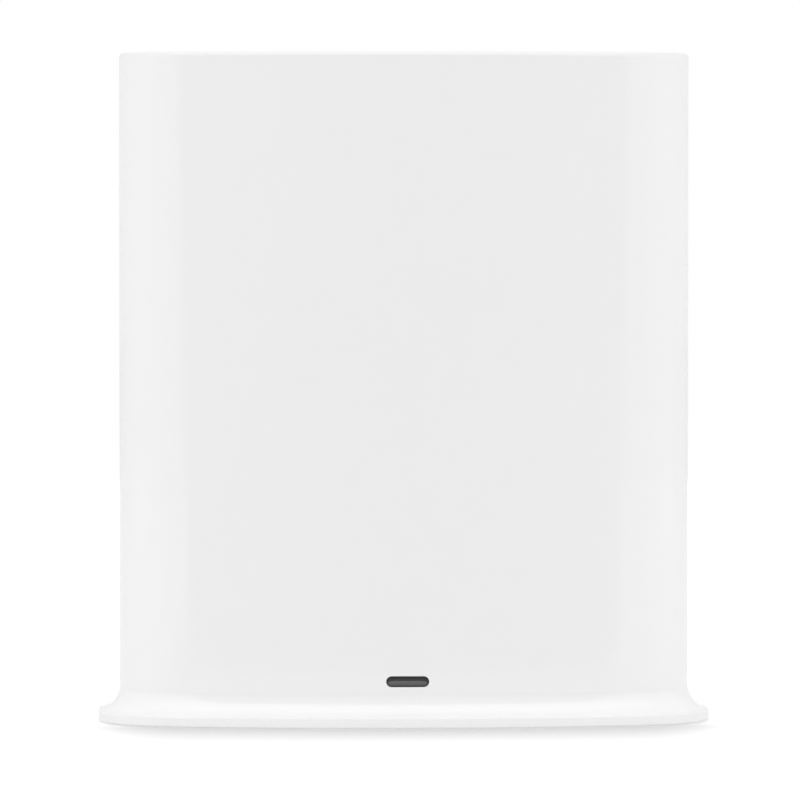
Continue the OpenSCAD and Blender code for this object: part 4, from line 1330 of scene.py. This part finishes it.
@dataclass
class Studio:
    """White floor and surroundings, soft lamps, two grey cards and the camera."""

    plan: HousingPlan
    lamps: tuple[Lamp, ...] = (
        Lamp("front_lamp", (-0.1, -0.28, 1.5), 1.2, 6.8),
        Lamp("left_lamp", (-1.35, -0.1, 0.3), 0.6, 1.9),
        Lamp("right_lamp", (1.35, -0.1, 0.3), 0.6, 2.2),
        Lamp("back_lamp", (0.0, 1.35, 0.3), 0.6, 2.0),
    )
    surroundings: float = 0.795
    ahead_gain: float = 0.3
    gloss_level: float = 0.9
    soft_box: float = 1.7
    soft_box_way: Place = (0.0, -0.38, 0.925)
    soft_box_edge: Point = (0.8, 0.95)
    floor_half: float = 4.0
    floor_drop: float = 0.02 * MM
    floor_bounce: float = 0.82
    floor_tone: float = 0.64
    floor_lift: float = 0.5
    floor_hole: float = 0.5 * MM
    gloss_lift: float = 0.32
    shadow_reach: float = 64 * MM
    shadow_ahead: Point = (55 * MM, 89 * MM)
    shadow_behind: Point = (30 * MM, 80 * MM)
    shadow_turn: Point = (-22 * MM, -6 * MM)
    contact_lift: float = 0.02
    under_lift: float = 0.38
    under_edge: Point = (-0.4 * MM, 0.1 * MM)
    eye: Place = (-0.0599, -1.6, 0.1291)
    yaw: float = 0.03677
    pitch: float = 0.02724
    sensor_mm: float = 36.0
    focal_px: float = 6346.3
    frame_px: float = 800.0
    drop_px: float = 17.93
    far_clip: float = 20.0
    card: RoundRect = RoundRect(0.101, 0.1748, 0.009, 12)
    card_stretch: float = 2.2
    card_taper: float = 0.0565
    card_at: Place = (0.0033, -0.124, 0.0936)
    card_tone: float = 0.25
    low_card: tuple[Point, Point] = ((0.117, -0.135), (0.21, -0.3))
    low_card_height: float = 0.1 * MM
    low_card_tone: float = 0.74

    def plane(self, name: str, paint: str, corners: Sequence[Place]) -> tuple[Object, Nodes]:
        """Makes a flat stage piece.

        Args:
            name: Name of the new object.
            paint: Name of its material.
            corners: Its corners, in order.

        Returns:
            The new object, and its material's empty tree.
        """
        data = bpy.data.meshes.new(name)
        data.from_pydata(corners, [], [tuple(range(len(corners)))])
        piece = bpy.data.objects.new(name, data)
        bpy.context.scene.collection.objects.link(piece)
        made = bpy.data.materials.new(paint)
        data.materials.append(made)
        return piece, Nodes.blank(made)

    def floor(self) -> None:
        """Lays a white floor that keeps the station's shadow.

        It is clear from below and, to all rays but the camera's, under the foot.
        """
        far, low = self.floor_half, -self.floor_drop
        _, lay = self.plane("floor", "floor_white", [(-far, -far, low), (far, -far, low), (far, far, low),
                                                     (-far, far, low)])
        seen, away = self.seen(lay), self.beyond_foot(lay)
        tone = lay.mix(seen, grey(self.floor_bounce), grey(self.floor_tone))
        ways = lay.add("LightPath")
        straight = lay.math("MULTIPLY", seen, self.lift(lay, away))
        lift = lay.scale(ways["Is Glossy Ray"], 0, 1, straight, self.gloss_lift)
        both = lay.add("AddShader", {0: lay.add("BsdfDiffuse", {"Color": tone})[0],
                                     1: lay.add("Emission", {"Strength": lift})[0]})
        below = lay.add("NewGeometry")["Backfacing"]
        hole = lay.math("LESS_THAN", lay.math("ADD", away, ways["Is Camera Ray"]), -self.floor_hole)
        gone = lay.math("MAXIMUM", below, hole)
        top = lay.add("MixShader", {0: gone, 1: both[0], 2: lay.add("BsdfTransparent")[0]})
        lay.add("OutputMaterial", {"Surface": top[0]})

    def beyond_foot(self, lay: Nodes) -> Socket:
        """Works out how far a place on the floor lies outside the foot's outline.

        Args:
            lay: Where the nodes go.

        Returns:
            The distance in metres, below 0 under the foot.
        """
        plan = self.plan
        front_x, bow, bow_y = plan.half_w - plan.front_r, *plan.bow()
        across, y, _ = lay.split(lay.place())
        x, ahead = lay.math("ABSOLUTE", across), lay.math("MULTIPLY", y, -1.0)
        back = (plan.half_w - plan.back_r, plan.half_d - plan.back_r)
        corners = []
        for centre, way, radius in (((front_x, 0.0), ahead, plan.front_r), (back, y, plan.back_r)):
            past = [lay.math("MAXIMUM", lay.math("SUBTRACT", v, c), 0.0) for v, c in zip((x, way), centre)]
            corners.append(lay.math("SUBTRACT", self.length(lay, *past), radius + plan.flare_w))
        arm = self.length(lay, x, lay.math("SUBTRACT", y, bow_y))
        front = lay.math("SUBTRACT", arm, bow + plan.flare_w)
        side = lay.math("MULTIPLY", lay.math("SUBTRACT", bow_y, y), front_x / bow_y)
        ahead_of = lay.scale(lay.math("LESS_THAN", x, side), 0.0, 1.0, corners[0], front)
        return lay.scale(lay.math("GREATER_THAN", y, 0.0), 0.0, 1.0, ahead_of, corners[1])

    def lift(self, lay: Nodes, away: Socket) -> Socket:
        """Works out how much paler the floor looks than it is lit, so that only a narrow shadow is left.

        Args:
            lay: Where the nodes go.
            away: How far a place lies outside the foot.

        Returns:
            The lift: full away from the foot and beside it, little along its front and back, some under it.
        """
        x, y, _ = lay.split(lay.place())
        across = lay.math("ABSOLUTE", x)
        fades = [lay.math("POWER", lay.scale(across, *span), 2.0)
                 for span in (self.shadow_ahead, self.shadow_behind)]
        beside = lay.scale(y, *self.shadow_turn, *fades)
        ahead = lay.math("MAXIMUM", lay.math("DIVIDE", away, self.shadow_reach), 0.0)
        beyond = lay.scale(lay.math("ADD", ahead, beside), 0.0, 1.0, self.contact_lift, self.floor_lift)
        return lay.math("MAXIMUM", lay.scale(away, *self.under_edge, self.under_lift, 0.0), beyond)

    @staticmethod
    def length(lay: Nodes, x: Socket, y: Socket) -> Socket:
        """Gives the length of a flat vector."""
        flat = lay.add("CombineXYZ", {0: x, 1: y})[0]
        return lay.add("VectorMath", {0: flat}, operation="LENGTH")["Value"]

    @staticmethod
    def seen(lay: Nodes) -> Socket:
        """Tells whether a ray comes from the camera, or by way of gloss or glass.

        Args:
            lay: Where the nodes go.

        Returns:
            1 where it does, and 0 elsewhere.
        """
        ways = lay.add("LightPath")
        through = lay.math("MAXIMUM", ways["Is Glossy Ray"], ways["Is Transmission Ray"])
        return lay.math("MAXIMUM", ways["Is Camera Ray"], through)

    def world(self) -> None:
        """Makes the surroundings white to look at and brighter ahead as light, with a soft box in gloss."""
        made = bpy.data.worlds.new("white_surroundings")
        bpy.context.scene.world = made
        lay = Nodes.blank(made)
        way = lay.add("TexCoord")["Generated"]
        lean = lay.add("VectorMath", {0: way, 1: self.soft_box_way}, operation="DOT_PRODUCT")["Value"]
        gloss = lay.scale(lean, *self.soft_box_edge, self.gloss_level, self.soft_box)
        ahead, behind = (self.surroundings * (1 + s * self.ahead_gain) for s in (1, -1))
        light = lay.scale(lay.split(way)[1], -1.0, 1.0, ahead, behind)
        plain = lay.scale(self.seen(lay), 0, 1, light, 1.0)
        strength = lay.scale(lay.add("LightPath")["Is Glossy Ray"], 0, 1, plain, gloss)
        sky = lay.add("Background", {"Color": grey(1.0), "Strength": strength})
        lay.add("OutputWorld", {"Surface": sky[0]})

    def gloss_card(self, name: str, corners: Sequence[Place], tone: float) -> None:
        """Places a grey card that only gloss sees.

        Args:
            name: Name of the card.
            corners: Its corners, in order.
            tone: How bright it is.
        """
        piece, lay = self.plane(name, name + "_grey", corners)
        lay.add("OutputMaterial", {"Surface": lay.add("Emission", {"Strength": tone})[0]})
        piece.visible_camera = piece.visible_diffuse = False
        piece.visible_shadow = piece.visible_transmission = False

    def grey_cards(self) -> None:
        """Stands one card in front and lays one on the floor; their reflections shade the bowed front."""
        at, height = Vector(self.card_at), self.low_card_height
        self.gloss_card("grey_card", [
            (at.x + x * self.card_stretch * (1 + self.card_taper * z / self.card.height), at.y, at.z + z)
            for x, z in self.card.points()], self.card_tone)
        near, far = self.low_card
        order = ((-1, far), (1, far), (1, near), (-1, near))
        self.gloss_card("low_card", [(s * x, y, height) for s, (x, y) in order], self.low_card_tone)

    def camera(self) -> None:
        """Sets the camera so that the station's outline falls where the photograph has it."""
        data = bpy.data.cameras.new("camera")
        data.sensor_width = self.sensor_mm
        data.lens = self.focal_px * self.sensor_mm / self.frame_px
        data.shift_y = -self.drop_px / self.frame_px
        data.clip_end = self.far_clip
        eye = bpy.data.objects.new("camera", data)
        eye.location = self.eye
        eye.rotation_euler = (math.pi / 2 - self.pitch, 0, -self.yaw)
        bpy.context.scene.collection.objects.link(eye)
        bpy.context.scene.camera = eye

    def build(self) -> None:
        """Builds the studio."""
        bpy.context.scene.view_settings.view_transform = "Standard"
        self.camera()
        self.world()
        self.floor()
        self.grey_cards()
        for lamp in self.lamps:
            lamp.build()


def main() -> None:
    """Builds the studio and every piece, in order."""
    logging.basicConfig(level=logging.INFO, format="%(name)s: %(message)s")
    plan = HousingPlan.from_solids()
    Studio(plan).build()
    Housing(plan).build()
    StatusLight().build()
    SocketRow().build()
    inner = plan.half_d - plan.wall
    for name, body, gap in (("sync_cap", "sync_button", 0.2 * MM), ("power_cap", "power_button", 1.4 * MM)):
        ButtonCap(name, body, body, flange_y=inner - gap).build()
    SirenFront().build()
    Innards(frame["record"]).build()


if __name__ == "__main__":
    main()
